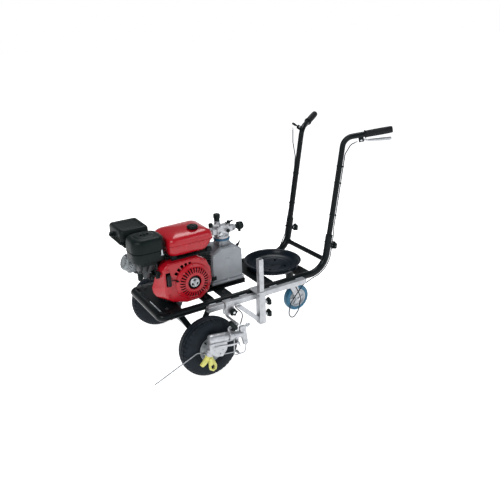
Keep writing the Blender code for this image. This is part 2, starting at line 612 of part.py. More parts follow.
# ---------------------------------------------------------------- engine
def build_engine():
    y, z = CRANK_Y, CRANK_Z
    base = block((-0.090, y - 0.105, BASE_Z), (0.075, y + 0.100, BASE_Z + 0.012), 0.004, 1, "z")
    case = block((-0.090, y - 0.078, BASE_Z + 0.011), (0.088, y + 0.085, 0.500), 0.012, 2, "x")
    barrel = block((-0.050, y - 0.200, z - 0.044), (0.044, y - 0.050, z + 0.028))
    lift = math.radians(-25)
    tilted(barrel, lift, "X", (0, y, z))
    boss = rod((-0.112, y, z), (-0.080, y, z), 0.042, 20)
    fins = [block((0.040, y + 0.080, zz), (0.086, y + 0.128, zz + 0.005))
            for zz in (0.424, 0.438, 0.452, 0.466, 0.480)]
    room = block((-0.080, y - 0.060, BASE_Z + 0.024), (0.100, y + 0.062, 0.470))
    shaft_hole = rod((-0.2, y, z), (0.0, y, z), 0.0130, 16)
    part("engine_crankcase", cut(fuse(base, case, barrel, boss, *fins), room, shaft_hole), DARK_CAST)

    head = block((-0.060, y - 0.236, z - 0.048), (0.047, y - 0.2005, z + 0.029), 0.004)
    cover = block((-0.058, y - 0.276, z - 0.050), (0.030, y - 0.235, z + 0.018), 0.018, 2)
    part("cylinder_head", tilted(fuse(head, cover), lift, "X", (0, y, z)), STEEL)

    # red fan cover, open towards the crankcase, with a round mouth for the starter
    shell = prism([(y - 0.135, 0.345), (y - 0.100, 0.322), (y - 0.035, 0.302), (y + 0.038, 0.304),
                   (y + 0.078, 0.335), (y + 0.096, 0.385), (y + 0.093, 0.440), (y + 0.072, 0.488),
                   (y + 0.036, 0.508), (y - 0.112, 0.508), (y - 0.138, 0.490)], "x", 0.0885, 0.150,
                  0.008, 2)
    hollow = prism([(y - 0.127, 0.351), (y - 0.097, 0.330), (y - 0.033, 0.310), (y + 0.034, 0.312),
                    (y + 0.070, 0.339), (y + 0.088, 0.387), (y + 0.085, 0.438), (y + 0.066, 0.482),
                    (y + 0.034, 0.500), (y - 0.108, 0.500), (y - 0.130, 0.485)], "x", 0.080, 0.1465)
    mouth = rod((0.10, y, z), (0.20, y, z), 0.078, 20)
    window = block((0.14, y - 0.128, 0.406), (0.16, y - 0.108, 0.466))
    part("fan_cover", cut(shell, hollow, mouth, window), RED)

    # slotted recoil starter housing, a dished ring
    profile = [(0.1505, 0.0600), (0.1505, 0.0850), (0.1545, 0.0850), (0.1600, 0.0690),
               (0.1690, 0.0640), (0.1690, 0.0250), (0.1655, 0.0250), (0.1655, 0.0600)]
    part("recoil_housing", lathe((0, y, z), (1, 0, 0), profile, 24, True), RED)

    # crankshaft with its flywheel
    profile = [(-0.150, 0.0120), (-0.148, 0.034), (-0.143, 0.034), (-0.139, 0.027),
               (-0.129, 0.027), (-0.125, 0.034), (-0.120, 0.034), (-0.120, 0.0120), (0.040, 0.0120),
               (0.092, 0.0160), (0.092, 0.0720), (0.120, 0.0720), (0.120, 0.0200), (0.138, 0.0180)]
    part("crankshaft", lathe((0, y, z), (1, 0, 0), profile, 18), STEEL, (0, y, z))
    profile = [(0.1395, 0.010), (0.1395, 0.0220), (0.1640, 0.0220), (0.1650, 0.0190), (0.1710, 0.0175),
               (0.1710, 0.008), (0.1660, 0.006)]
    part("starter_pulley", lathe((0, y, z), (1, 0, 0), profile, 14), SILVER, (0, y, z))

    # pull handle, in front of the starter, partly sunk in the cover's window
    c = Vector((0.160, y - 0.118, 0.4360))
    bar = block((c.x - 0.008, c.y - 0.0085, c.z - 0.0260), (c.x + 0.010, c.y + 0.0085, c.z + 0.0260),
                0.005, 1)
    part("starter_handle", bar, PLASTIC, c)

    tank = block((-0.062, y - 0.094, 0.5240), (0.135, y + 0.129, 0.6260), 0.034, 3)
    part("fuel_tank", tank, RED)
    c = (0.081, y + 0.046, 0.6263)
    cap = [(0, 0.022), (0.003, 0.0255), (0.010, 0.0245), (0.014, 0.018)]
    part("fuel_cap", lathe(c, (0, 0, 1), cap, 18), PLASTIC, c)

    body = block((-0.004, y - 0.252, 0.5350), (0.130, y - 0.100, 0.6350), 0.028, 3)
    foot = block((0.052, y - 0.225, 0.5100), (0.118, y - 0.145, 0.5500))
    part("air_cleaner", fuse(body, foot), PLASTIC)
    carb = block((0.056, y - 0.215, 0.4740), (0.104, y - 0.155, 0.5096), 0.005)
    bowl = rod((0.080, y - 0.190, 0.4400), (0.080, y - 0.190, 0.4760), 0.0180, 14)
    part("carburettor", fuse(carb, bowl), STEEL)

    box = block((-0.172, y - 0.256, 0.5850), (-0.014, y - 0.120, 0.6420), 0.014, 2)
    seam = block((-0.176, y - 0.260, 0.5780), (-0.010, y - 0.116, 0.5865), 0.010, 1, "z")
    pan = block((-0.155, y - 0.236, 0.5450), (-0.030, y - 0.140, 0.5800), 0.012, 1)
    pipe = rod((-0.090, y - 0.170, 0.4800), (-0.090, y - 0.170, 0.5500), 0.014, 12)
    tail = rod((-0.100, y - 0.274, 0.6080), (-0.100, y - 0.250, 0.6080), 0.011, 12)
    part("muffler", fuse(box, seam, pan, pipe, tail), BLACK)


# ---------------------------------------------------------------- pump
def build_pump():
    x, y = PUMP_X, PUMP_Y
    low = DECK_TOP + 0.0143
    body = prism([(0.150, low), (0.318, low), (0.318, 0.456), (0.280, 0.484),
                  (0.198, 0.484), (0.150, 0.456)], "x", x - 0.054, x + 0.054, 0.006, 1)
    neck = rod((x, y, 0.478), (x, y, 0.508), 0.032, 18)
    room = block((x - 0.042, 0.164, low + 0.014), (x + 0.042, 0.300, 0.440))
    drive_hole = rod((x - 0.2, 0.215, z_pump_shaft()), (x, 0.215, z_pump_shaft()), 0.0105, 16)
    well = rod((x, y, 0.43), (x, y, 0.53), 0.022, 14)
    part("pump_housing", cut(fuse(body, neck), room, drive_hole, well), GREY_CAST)
    part("pump_ring", ring((x, y, 0.5083), (x, y, 0.5180), 0.040, 0.022, 20), BLUE)
    block_head = lathe((x, y, 0.5183), (0, 0, 1), [(0, 0.036), (0.014, 0.036), (0.020, 0.028),
                                                  (0.058, 0.025)], 18)
    arm = rod((x, y - 0.070, 0.5540), (x, y + 0.072, 0.5540), 0.0170, 14)
    stub = rod((x, y - 0.020, 0.5600), (x, y - 0.020, 0.6040), 0.0150, 14)
    port = rod((x, y - 0.054, 0.5540), (x, y - 0.054, 0.5960), 0.0085, 10)
    cap = lathe((x, y - 0.020, 0.6030), (0, 0, 1), [(0, 0.0130), (0.014, 0.0130), (0.014, 0.0160),
                                                   (0.032, 0.0160), (0.035, 0.0130)], 14)
    prime = lathe((x, y + 0.038, 0.5640), (0, 0.2, 1), [(0, 0.006), (0.014, 0.006), (0.014, 0.011),
                                                       (0.028, 0.010)], 12)
    part("pump_head", fuse(block_head, arm, stub, port, cap, prime), SILVER)
    c = (x, y + 0.0724, 0.5540)
    part("pressure_knob", lathe(c, (0, 1, 0), [(0, 0.010), (0.016, 0.010), (0.018, 0.0205),
                                               (0.042, 0.0195), (0.046, 0.015)], 18), PLASTIC, c)
    # drive shaft with its belt pulley, on the machine's right side
    xs = x - 0.036
    shaft = lathe((0, 0.215, z_pump_shaft()), (1, 0, 0),
                  [(-0.150, 0.0100), (-0.148, 0.045), (-0.143, 0.045), (-0.139, 0.038),
                   (-0.129, 0.038), (-0.125, 0.045), (-0.120, 0.045), (-0.120, 0.0100),
                   (xs + 0.060, 0.0100)], 16)
    part("pump_shaft", shaft, STEEL, (0, 0.215, z_pump_shaft()))


def z_pump_shaft():
    return CRANK_Z


# ---------------------------------------------------------------- belt drive on the right side
def racetrack(y0, y1, z, r0, r1, n=10):
    """Outline round two circles whose centres lie at the same height."""
    tilt = math.asin((r1 - r0) / (y1 - y0))
    pts = []
    for k in range(n + 1):
        a = math.pi / 2 + tilt + (math.pi - 2 * tilt) * k / n
        pts.append((y0 + r0 * math.cos(a), z + r0 * math.sin(a)))
    for k in range(n + 1):
        a = -math.pi / 2 - tilt + (math.pi + 2 * tilt) * k / n
        pts.append((y1 + r1 * math.cos(a), z + r1 * math.sin(a)))
    return pts


def build_drive():
    y0, y1, z = CRANK_Y, 0.215, CRANK_Z
    outer = racetrack(y0, y1, z, 0.0325, 0.0435)
    inner = racetrack(y0, y1, z, 0.0276, 0.0386)

    def layer(pts, x):
        return [Vector((x, p[0], p[1])) for p in pts]
    belt = stack([layer(inner, -0.1378), layer(outer, -0.1400), layer(outer, -0.1280),
                  layer(inner, -0.1302)], True)
    part("drive_belt", belt, RUBBER)
    shell = prism(racetrack(y0, y1, z, 0.046, 0.056), "x", -0.1620, -0.1140, 0.004, 1)
    room = prism(racetrack(y0, y1, z, 0.043, 0.053), "x", -0.1590, -0.1000)
    part("drive_cover", cut(shell, room), BLACK)


def bend_points():
    """Points just outside the left main tube's bend, down its rear and under it."""
    bend = fillet([(RAIL_X, RAIL_FRONT, RAIL_Z), (RAIL_X, CORNER_Y, RAIL_Z),
                   upright_point(SLEEVE_TOP_Z, 1)], 0.11, 7)[1:-1]
    points = []
    for a, b in zip(bend, bend[1:]):
        along = (b - a).normalized()
        out = Vector((0, along.z, -along.y))
        way = (out * 0.8 + Vector((0.6, 0, 0))).normalized()
        points.append((a + b) / 2 + way * (RAIL_R + 0.0050))
    return points[::-1]


def build_cables():
    r = 0.0025
    # left: squeeze lever to the gun's trigger, with a slack loop by the rear wheel
    g = grip_dir(1)
    corner = upright_point(HANDLE_TOP_Z, 1)
    drop = (Vector((0, 0, -1)) + g * g.z).normalized()
    side = (upright_back() * 0.8 + Vector((0.6, 0, 0))).normalized()
    route = [corner + g * 0.062 + drop * 0.030, corner + g * 0.030 + drop * 0.036,
             upright_point(0.860, 1) + side * (HANDLE_R + 0.0040),
             upright_point(0.500, 1) + side * (HANDLE_R + 0.0040),
             upright_point(0.450, 1) + side * (RAIL_R + 0.0040),
             *bend_points(),
             (0.158, 0.610, 0.2180), (0.150, 0.584, 0.180),
             (0.149, 0.540, 0.130), (0.149, 0.528, 0.066), (0.149, 0.556, 0.040),
             (0.150, 0.590, 0.080), (0.151, 0.602, 0.150), (0.149, 0.570, 0.222),
             (0.146, 0.510, 0.2465), (0.146, 0.270, 0.2450), (0.166, 0.1990, 0.2290),
             (0.244, 0.1990, 0.2230), (0.300, 0.170, 0.2400), (GUN_X, 0.128, 0.2375),
             (GUN_X, 0.128, 0.2275)]
    part("trigger_cable", sweep(fillet(route, 0.035, 2), r, 6), RUBBER)

    # right: forward lever to the rear wheel's swivel lock
    tip = Vector((-0.1690, 0.7850, 0.9480))
    front = -upright_back()
    route = [tip + Vector((0, 0, -0.004)), tip + Vector((0, 0.000, -0.080)),
             upright_point(0.790, -1) + front * (HANDLE_R + 0.0075),
             upright_point(0.740, -1) + front * (HANDLE_R + 0.0035),
             upright_point(0.500, -1) + front * (HANDLE_R + 0.0035),
             upright_point(0.440, -1) + front * (RAIL_R + 0.0035),
             upright_point(0.370, -1) + front * (RAIL_R + 0.0045),
             (-0.160, 0.688, 0.306), (-0.140, 0.640, 0.300), (-0.100, 0.585, 0.262),
             (-0.060, 0.585, 0.215), (-0.0245, 0.632, 0.205)]
    part("swivel_lock_cable", sweep(fillet(route, 0.035, 2), r, 6), RUBBER)


build_frame()
build_wheels()
build_caster()
build_handles()
build_side_rail()
build_gun()
build_tray()
build_engine()
build_pump()
build_drive()
build_cables()
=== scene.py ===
"""Looks of the walk-behind line striping machine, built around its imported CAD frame.

Shapes are written in machine axes: +X the machine's left, +Y rearward, +Z up, front axle at Y = 0.
Every piece is then placed by SHIFT, the same offset that the CAD solids carry.
"""
from math import copysign, cos, pi, radians, sin, tan

import bmesh
import bpy
from mathutils import Matrix, Vector


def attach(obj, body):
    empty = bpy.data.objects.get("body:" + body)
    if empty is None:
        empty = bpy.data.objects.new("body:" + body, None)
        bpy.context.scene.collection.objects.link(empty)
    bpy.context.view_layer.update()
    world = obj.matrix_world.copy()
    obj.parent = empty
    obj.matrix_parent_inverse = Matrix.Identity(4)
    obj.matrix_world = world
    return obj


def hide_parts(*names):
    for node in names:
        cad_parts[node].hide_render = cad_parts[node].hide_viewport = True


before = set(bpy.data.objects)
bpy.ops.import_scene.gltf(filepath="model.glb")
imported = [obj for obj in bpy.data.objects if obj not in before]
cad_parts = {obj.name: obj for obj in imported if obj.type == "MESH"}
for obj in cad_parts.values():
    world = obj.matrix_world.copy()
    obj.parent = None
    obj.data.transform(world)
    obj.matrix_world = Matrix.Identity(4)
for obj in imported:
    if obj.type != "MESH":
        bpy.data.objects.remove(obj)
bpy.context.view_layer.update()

SHIFT = Vector((-0.0265, -0.3715, 0.004))
X, Y, Z = Vector((1, 0, 0)), Vector((0, 1, 0)), Vector((0, 0, 1))
SIDES = ((1, "left"), (-1, "right"))

RAIL_X, RAIL_Z, RAIL_R, RAIL_FRONT = 0.168, 0.272, 0.0175, -0.12
LEAN = radians(9.2)
CORNER_Y, SLEEVE_TOP_Z = 0.7356, 0.455
HANDLE_R, HANDLE_TOP_Z, GRIP_REACH = 0.0135, 0.935, 0.225
GRIP_DIR = Vector((0.574, 0.803, 0.164)).normalized()
DECK_TOP = RAIL_Z + RAIL_R
BASE_Z = DECK_TOP + 0.0003
TRACK_X, WHEEL_R, AXLE_Z = 0.2815, 0.14, 0.136
GROUND = AXLE_Z - WHEEL_R
CASTER_Y, CASTER_TRAIL, CASTER_R, CASTER_W = 0.64, 0.04, 0.072, 0.036
CRANK_Y, CRANK_Z = 0.01, 0.4
PUMP_X, PUMP_Y = 0.01, 0.238
TRAY_Y, TRAY_R = 0.532, 0.147
RODS_X, SLEEVE_Y, GUN_X, CARRIAGE_Y = 0.1985, 0.314, 0.352, 0.152
RAIL_HALF = 0.0125
LIFT = radians(-25)     # tilt of the cylinder
SPOKES = 30             # of the recoil starter's grille
POST_X = RODS_X + RAIL_HALF + 0.0168
COVER_SCREWS = ((-0.118, 0.36), (-0.118, 0.482), (0.07, 0.348), (0.05, 0.492))

CAMERA_AT = Vector((2.3329, -0.9968, 1.5096))
CAMERA_TURN = (59.0832, 22.0704, -1.9209)       # azimuth, elevation and roll in degrees
CAMERA_LENS = 42.382


# ---------------------------------------------------------------- camera, light and floor
def add_camera():
    az, el, roll = (radians(angle) for angle in CAMERA_TURN)
    back = Vector((sin(az) * cos(el), -cos(az) * cos(el), sin(el)))
    right = Vector((cos(az), sin(az), 0))
    up = back.cross(right)
    c, s = cos(roll), sin(roll)
    data = bpy.data.cameras.new("camera")
    data.lens, data.sensor_width = CAMERA_LENS, 36.0
    data.clip_start, data.clip_end = 0.05, 60.0
    cam = bpy.data.objects.new("camera", data)
    bpy.context.scene.collection.objects.link(cam)
    turn = Matrix((right * c + up * s, up * c - right * s, back)).transposed().to_4x4()
    cam.matrix_world = Matrix.Translation(CAMERA_AT + SHIFT) @ turn
    bpy.context.scene.camera = cam


def add_light(name, pos, target, size, power, colour=(1, 1, 1)):
    data = bpy.data.lights.new(name, "AREA")
    data.shape, data.size, data.energy, data.color = "SQUARE", size, power, colour
    ob = bpy.data.objects.new(name, data)
    bpy.context.scene.collection.objects.link(ob)
    ob.location = pos
    ob.rotation_euler = (Vector(target) - Vector(pos)).to_track_quat("-Z", "Y").to_euler()


def add_studio():
    world = bpy.data.worlds.new("studio")
    bpy.context.scene.world = world
    world.use_nodes = True
    nodes, links = world.node_tree.nodes, world.node_tree.links
    coord = nodes.new("ShaderNodeTexCoord")
    split = nodes.new("ShaderNodeSeparateXYZ")
    ramp = nodes.new("ShaderNodeValToRGB")
    stops = ramp.color_ramp.elements
    stops[0].position, stops[0].color = 0.03, (1.0, 1.0, 1.0, 1.0)
    stops[1].position, stops[1].color = 0.3, (0.16, 0.17, 0.18, 1.0)
    links.new(coord.outputs["Generated"], split.inputs[0])
    links.new(split.outputs[2], ramp.inputs["Fac"])
    links.new(ramp.outputs["Color"], nodes["Background"].inputs["Color"])
    nodes["Background"].inputs["Strength"].default_value = 1.0
    add_light("key", (1.4, -2.4, 2.6), (0, 0, 0.35), 1.3, 62)
    add_light("fill", (3.2, 1.4, 1.6), (0, 0, 0.3), 1.8, 22, (0.92, 0.96, 1.0))
    add_light("top", (-0.9, 0.5, 3.0), (0, 0, 0.2), 1.5, 52)
    floor = bpy.data.meshes.new("floor")
    bm = bmesh.new()
    bmesh.ops.create_grid(bm, x_segments=2, y_segments=2, size=28.0)
    bm.to_mesh(floor)
    bm.free()
    ob = bpy.data.objects.new("floor", floor)
    bpy.context.scene.collection.objects.link(ob)
    floor.materials.append(look("floor_pale", (0.9, 0.9, 0.9), 0.85, mottle=0.01, grain=0.0,
        glow=0.92, shine=0.1))
    bpy.context.scene.view_settings.view_transform = "Standard"


# ---------------------------------------------------------------- materials
def look(name, base, rough, metal=0.0, coat=0.0, mottle=0.12, patch=14.0, grain=0.05, fine=900.0,
        dust=0.0, wear=0.0, wear_colour=(0.3, 0.31, 0.32), stretch=(1, 1, 1), sub=0.0, shine=0.5,
        glow=0.0):
    """Procedural surface: patchy colour and gloss, a fine relief, optional dust and edge wear."""
    mat = bpy.data.materials.new(name)
    mat.use_nodes = True
    nodes, links = mat.node_tree.nodes, mat.node_tree.links
    shader = nodes["Principled BSDF"]
    shader.inputs["Coat Weight"].default_value = coat
    shader.inputs["Coat Roughness"].default_value = 0.12
    shader.inputs["Specular IOR Level"].default_value = shine
    if glow:
        shader.inputs["Emission Color"].default_value = (1.0, 1.0, 1.0, 1.0)
        shader.inputs["Emission Strength"].default_value = glow
    if sub:
        shader.inputs["Subsurface Weight"].default_value = sub
        shader.inputs["Subsurface Scale"].default_value = 0.004
    coord = nodes.new("ShaderNodeTexCoord")
    mapping = nodes.new("ShaderNodeMapping")
    mapping.inputs["Scale"].default_value = stretch
    links.new(coord.outputs["Object"], mapping.inputs["Vector"])

    def noise(scale, detail=4.0):
        tex = nodes.new("ShaderNodeTexNoise")
        tex.inputs["Scale"].default_value = scale
        tex.inputs["Detail"].default_value = detail
        links.new(mapping.outputs["Vector"], tex.inputs["Vector"])
        return tex.outputs[0]

    def spread(value, low, high, to_low, to_high):
        node = nodes.new("ShaderNodeMapRange")
        for key, number in zip(("From Min", "From Max", "To Min", "To Max"),
                (low, high, to_low, to_high)):
            node.inputs[key].default_value = number
        links.new(value, node.inputs["Value"])
        return node.outputs["Result"]

    def times(a, b):
        node = nodes.new("ShaderNodeMath")
        node.operation = "MULTIPLY"
        links.new(a, node.inputs[0])
        links.new(b, node.inputs[1])
        return node.outputs[0]

    def mix(factor, a, b):
        node = nodes.new("ShaderNodeMix")
        node.data_type = "RGBA"
        links.new(factor, node.inputs[0])
        for socket, colour in ((node.inputs[6], a), (node.inputs[7], b)):
            if isinstance(colour, tuple):
                socket.default_value = (*colour, 1.0)
            else:
                links.new(colour, socket)
        return node.outputs[2]

    patches = noise(patch)
    dark = tuple(c * (1 - mottle) for c in base)
    light = tuple(min(1.0, c * (1 + mottle) + 0.01 * mottle) for c in base)
    colour = mix(spread(patches, 0.3, 0.7, 0, 1), dark, light)
    gloss = spread(patches, 0.25, 0.75, rough * 0.85, min(1.0, rough * 1.18))
    metallic = None
    geometry = nodes.new("ShaderNodeNewGeometry")
    if dust:
        split = nodes.new("ShaderNodeSeparateXYZ")
        links.new(geometry.outputs["Normal"], split.inputs[0])
        speck = spread(noise(60.0, 6.0), 0.42, 0.75, 0, 1)
        amount = times(spread(split.outputs[2], 0.1, 1.0, 0.15 * dust, dust), speck)
        colour = mix(amount, colour, (0.42, 0.4, 0.37))
    if wear:
        edge = spread(geometry.outputs["Pointiness"], 0.53, 0.6, 0, wear)
        chips = times(edge, spread(noise(160.0, 5.0), 0.45, 0.6, 0, 1))
        colour = mix(chips, colour, wear_colour)
        metallic = spread(chips, 0.0, 1.0, metal, 0.8)
    links.new(colour, shader.inputs["Base Color"])
    links.new(gloss, shader.inputs["Roughness"])
    if metallic is None:
        shader.inputs["Metallic"].default_value = metal
    else:
        links.new(metallic, shader.inputs["Metallic"])
    if grain:
        bump = nodes.new("ShaderNodeBump")
        bump.inputs["Strength"].default_value = grain
        bump.inputs["Distance"].default_value = 0.002
        relief = noise(fine, 3.0)
        links.new(relief, bump.inputs["Height"])
        links.new(bump.outputs["Normal"], shader.inputs["Normal"])
    return mat


LOOKS = {
    "frame_black": look("frame_black", (0.002, 0.004, 0.005), 0.32, grain=0.05, fine=420, dust=0.01,
        shine=0.14),
    "engine_cast": look("engine_cast", (0.006, 0.009, 0.01), 0.48, 0.1, grain=0.3, fine=1300,
        mottle=0.25, shine=0.12),
    "head_cast": look("head_cast", (0.2, 0.22, 0.23), 0.45, 0.55, grain=0.3, fine=1100, mottle=0.3),
    "carb_cast": look("carb_cast", (0.026, 0.029, 0.032), 0.42, 0.4, grain=0.25, fine=1100,
        mottle=0.3),
    "red_paint": look("red_paint", (0.33, 0.003, 0.01), 0.26, coat=0.22, mottle=0.06, patch=9,
        grain=0.05, fine=260, shine=0.28),
    "silver_metal": look("silver_metal", (0.38, 0.39, 0.41), 0.38, 0.7, mottle=0.16, patch=40,
        grain=0.08, fine=500, wear=0.15, wear_colour=(0.65, 0.65, 0.65)),
    "pump_grey": look("pump_grey", (0.27, 0.29, 0.315), 0.46, 0.25, mottle=0.1, patch=22,
        grain=0.22, fine=700, dust=0.04, wear=0.15, wear_colour=(0.45, 0.47, 0.5)),
    "steel": look("steel", (0.36, 0.38, 0.4), 0.34, 0.9, mottle=0.2, patch=60, grain=0.05, fine=800,
        stretch=(1, 1, 6)),
    "zinc": look("zinc", (0.5, 0.52, 0.54), 0.3, 0.9, mottle=0.22, patch=160, grain=0.05),
    "tyre_rubber": look("tyre_rubber", (0.004, 0.008, 0.013), 0.55, mottle=0.25, patch=30,
        grain=0.12, fine=1400, dust=0.01, shine=0.14),
    "grip_rubber": look("grip_rubber", (0.004, 0.005, 0.006), 0.55, mottle=0.2, grain=0.2,
        fine=1600, shine=0.18),
    "caster_tread": look("caster_tread", (0.012, 0.115, 0.205), 0.42, mottle=0.16, patch=30,
        grain=0.08, fine=900, dust=0.05, sub=0.05, shine=0.4),
    "rim_grey": look("rim_grey", (0.42, 0.45, 0.48), 0.36, 0.3, mottle=0.1, patch=35, grain=0.06,
        dust=0.08, wear=0.3),
    "black_plastic": look("black_plastic", (0.003, 0.007, 0.007), 0.38, mottle=0.15, grain=0.2,
        fine=1500, shine=0.11),
    "yellow_plastic": look("yellow_plastic", (0.52, 0.5, 0.12), 0.4, mottle=0.1, patch=50,
        grain=0.12, fine=1200, sub=0.08),
    "blue_ring": look("blue_ring", (0.01, 0.095, 0.19), 0.35, mottle=0.12, patch=60, grain=0.06),
    "tray_black": look("tray_black", (0.002, 0.006, 0.012), 0.32, mottle=0.2, patch=20, grain=0.02,
        fine=300, shine=0.2),
    "muffler_black": look("muffler_black", (0.003, 0.006, 0.006), 0.42, mottle=0.2, patch=28,
        grain=0.14, fine=900, shine=0.11),
    # Very dark matte finish: painted shade for holes, slots and the cavity behind the starter grille,
    # and also the starter rope's own colour.
    "hole_shade_and_rope_black": look("hole_shade_and_rope_black", (0.003, 0.003, 0.004), 0.85, mottle=0.2, grain=0.1, shine=0.1),
}


# ---------------------------------------------------------------- shapes
def axes_for(direction):
    """Two unit vectors square to a direction and to each other."""
    d = Vector(direction).normalized()
    side = Z if abs(d.z) < 0.9 else Y
    u = side.cross(d).normalized()
    return u, d.cross(u).normalized()


def fillet(points, radius, steps=8):
    """Round the corners of a polyline with arcs."""
    pts = [Vector(p) for p in points]
    out = [pts[0]]
    for a, b, c in zip(pts, pts[1:], pts[2:]):
        d0, d1 = (a - b).normalized(), (c - b).normalized()
        half = d0.angle(d1) / 2
        t = min(radius / tan(half), 0.49 * (a - b).length, 0.49 * (c - b).length)
        r = t * tan(half)
        mid = b + (d0 + d1).normalized() * (r / sin(half))
        e0, e1 = b + d0 * t - mid, b + d1 * t - mid
        turn = e0.angle(e1)
        for k in range(steps + 1):
            f = k / steps
            out.append(mid + (e0 * sin((1 - f) * turn) + e1 * sin(f * turn)) / sin(turn))
    out.append(pts[-1])
    return out


def round_outline(points, radius, steps=5):
    """Round the corners of a closed 2D outline."""
    flat = [Vector((p[0], p[1], 0)) for p in points]
    loop = [(flat[-1] + flat[0]) / 2] + flat + [(flat[-1] + flat[0]) / 2]
    return [(p.x, p.y) for p in fillet(loop, radius, steps)[:-1]]


def mirrored(half):
    """The (offset, radius) points of the other half, in reverse order."""
    return [(-a, r) for a, r in reversed(half)]


def angles(count, start=0.0):
    """Evenly spread angles of one full turn."""
    return [start + 2 * pi * k / count for k in range(count)]


def spoke(a):
    """Unit vectors out from the X axis and round it, at angle a."""
    return Vector((0, cos(a), sin(a))), Vector((0, -sin(a), cos(a)))


def on_circle(count, radius, start=0.0):
    """Offsets of points spread evenly round a circle."""
    return [(radius * cos(a), radius * sin(a)) for a in angles(count, start)]


def squarish(t, power):
    """Point at angle t of a circle that is swelled towards a square."""
    return tuple(copysign(abs(w) ** power, w) for w in (cos(t), sin(t)))


def flutes(depth, first, last, count):
    """Grooves round a knob, cut into its profile points from first to last."""
    return lambda k, a: 1 - (depth if first <= k <= last else 0) * (0.5 - 0.5 * cos(count * a))


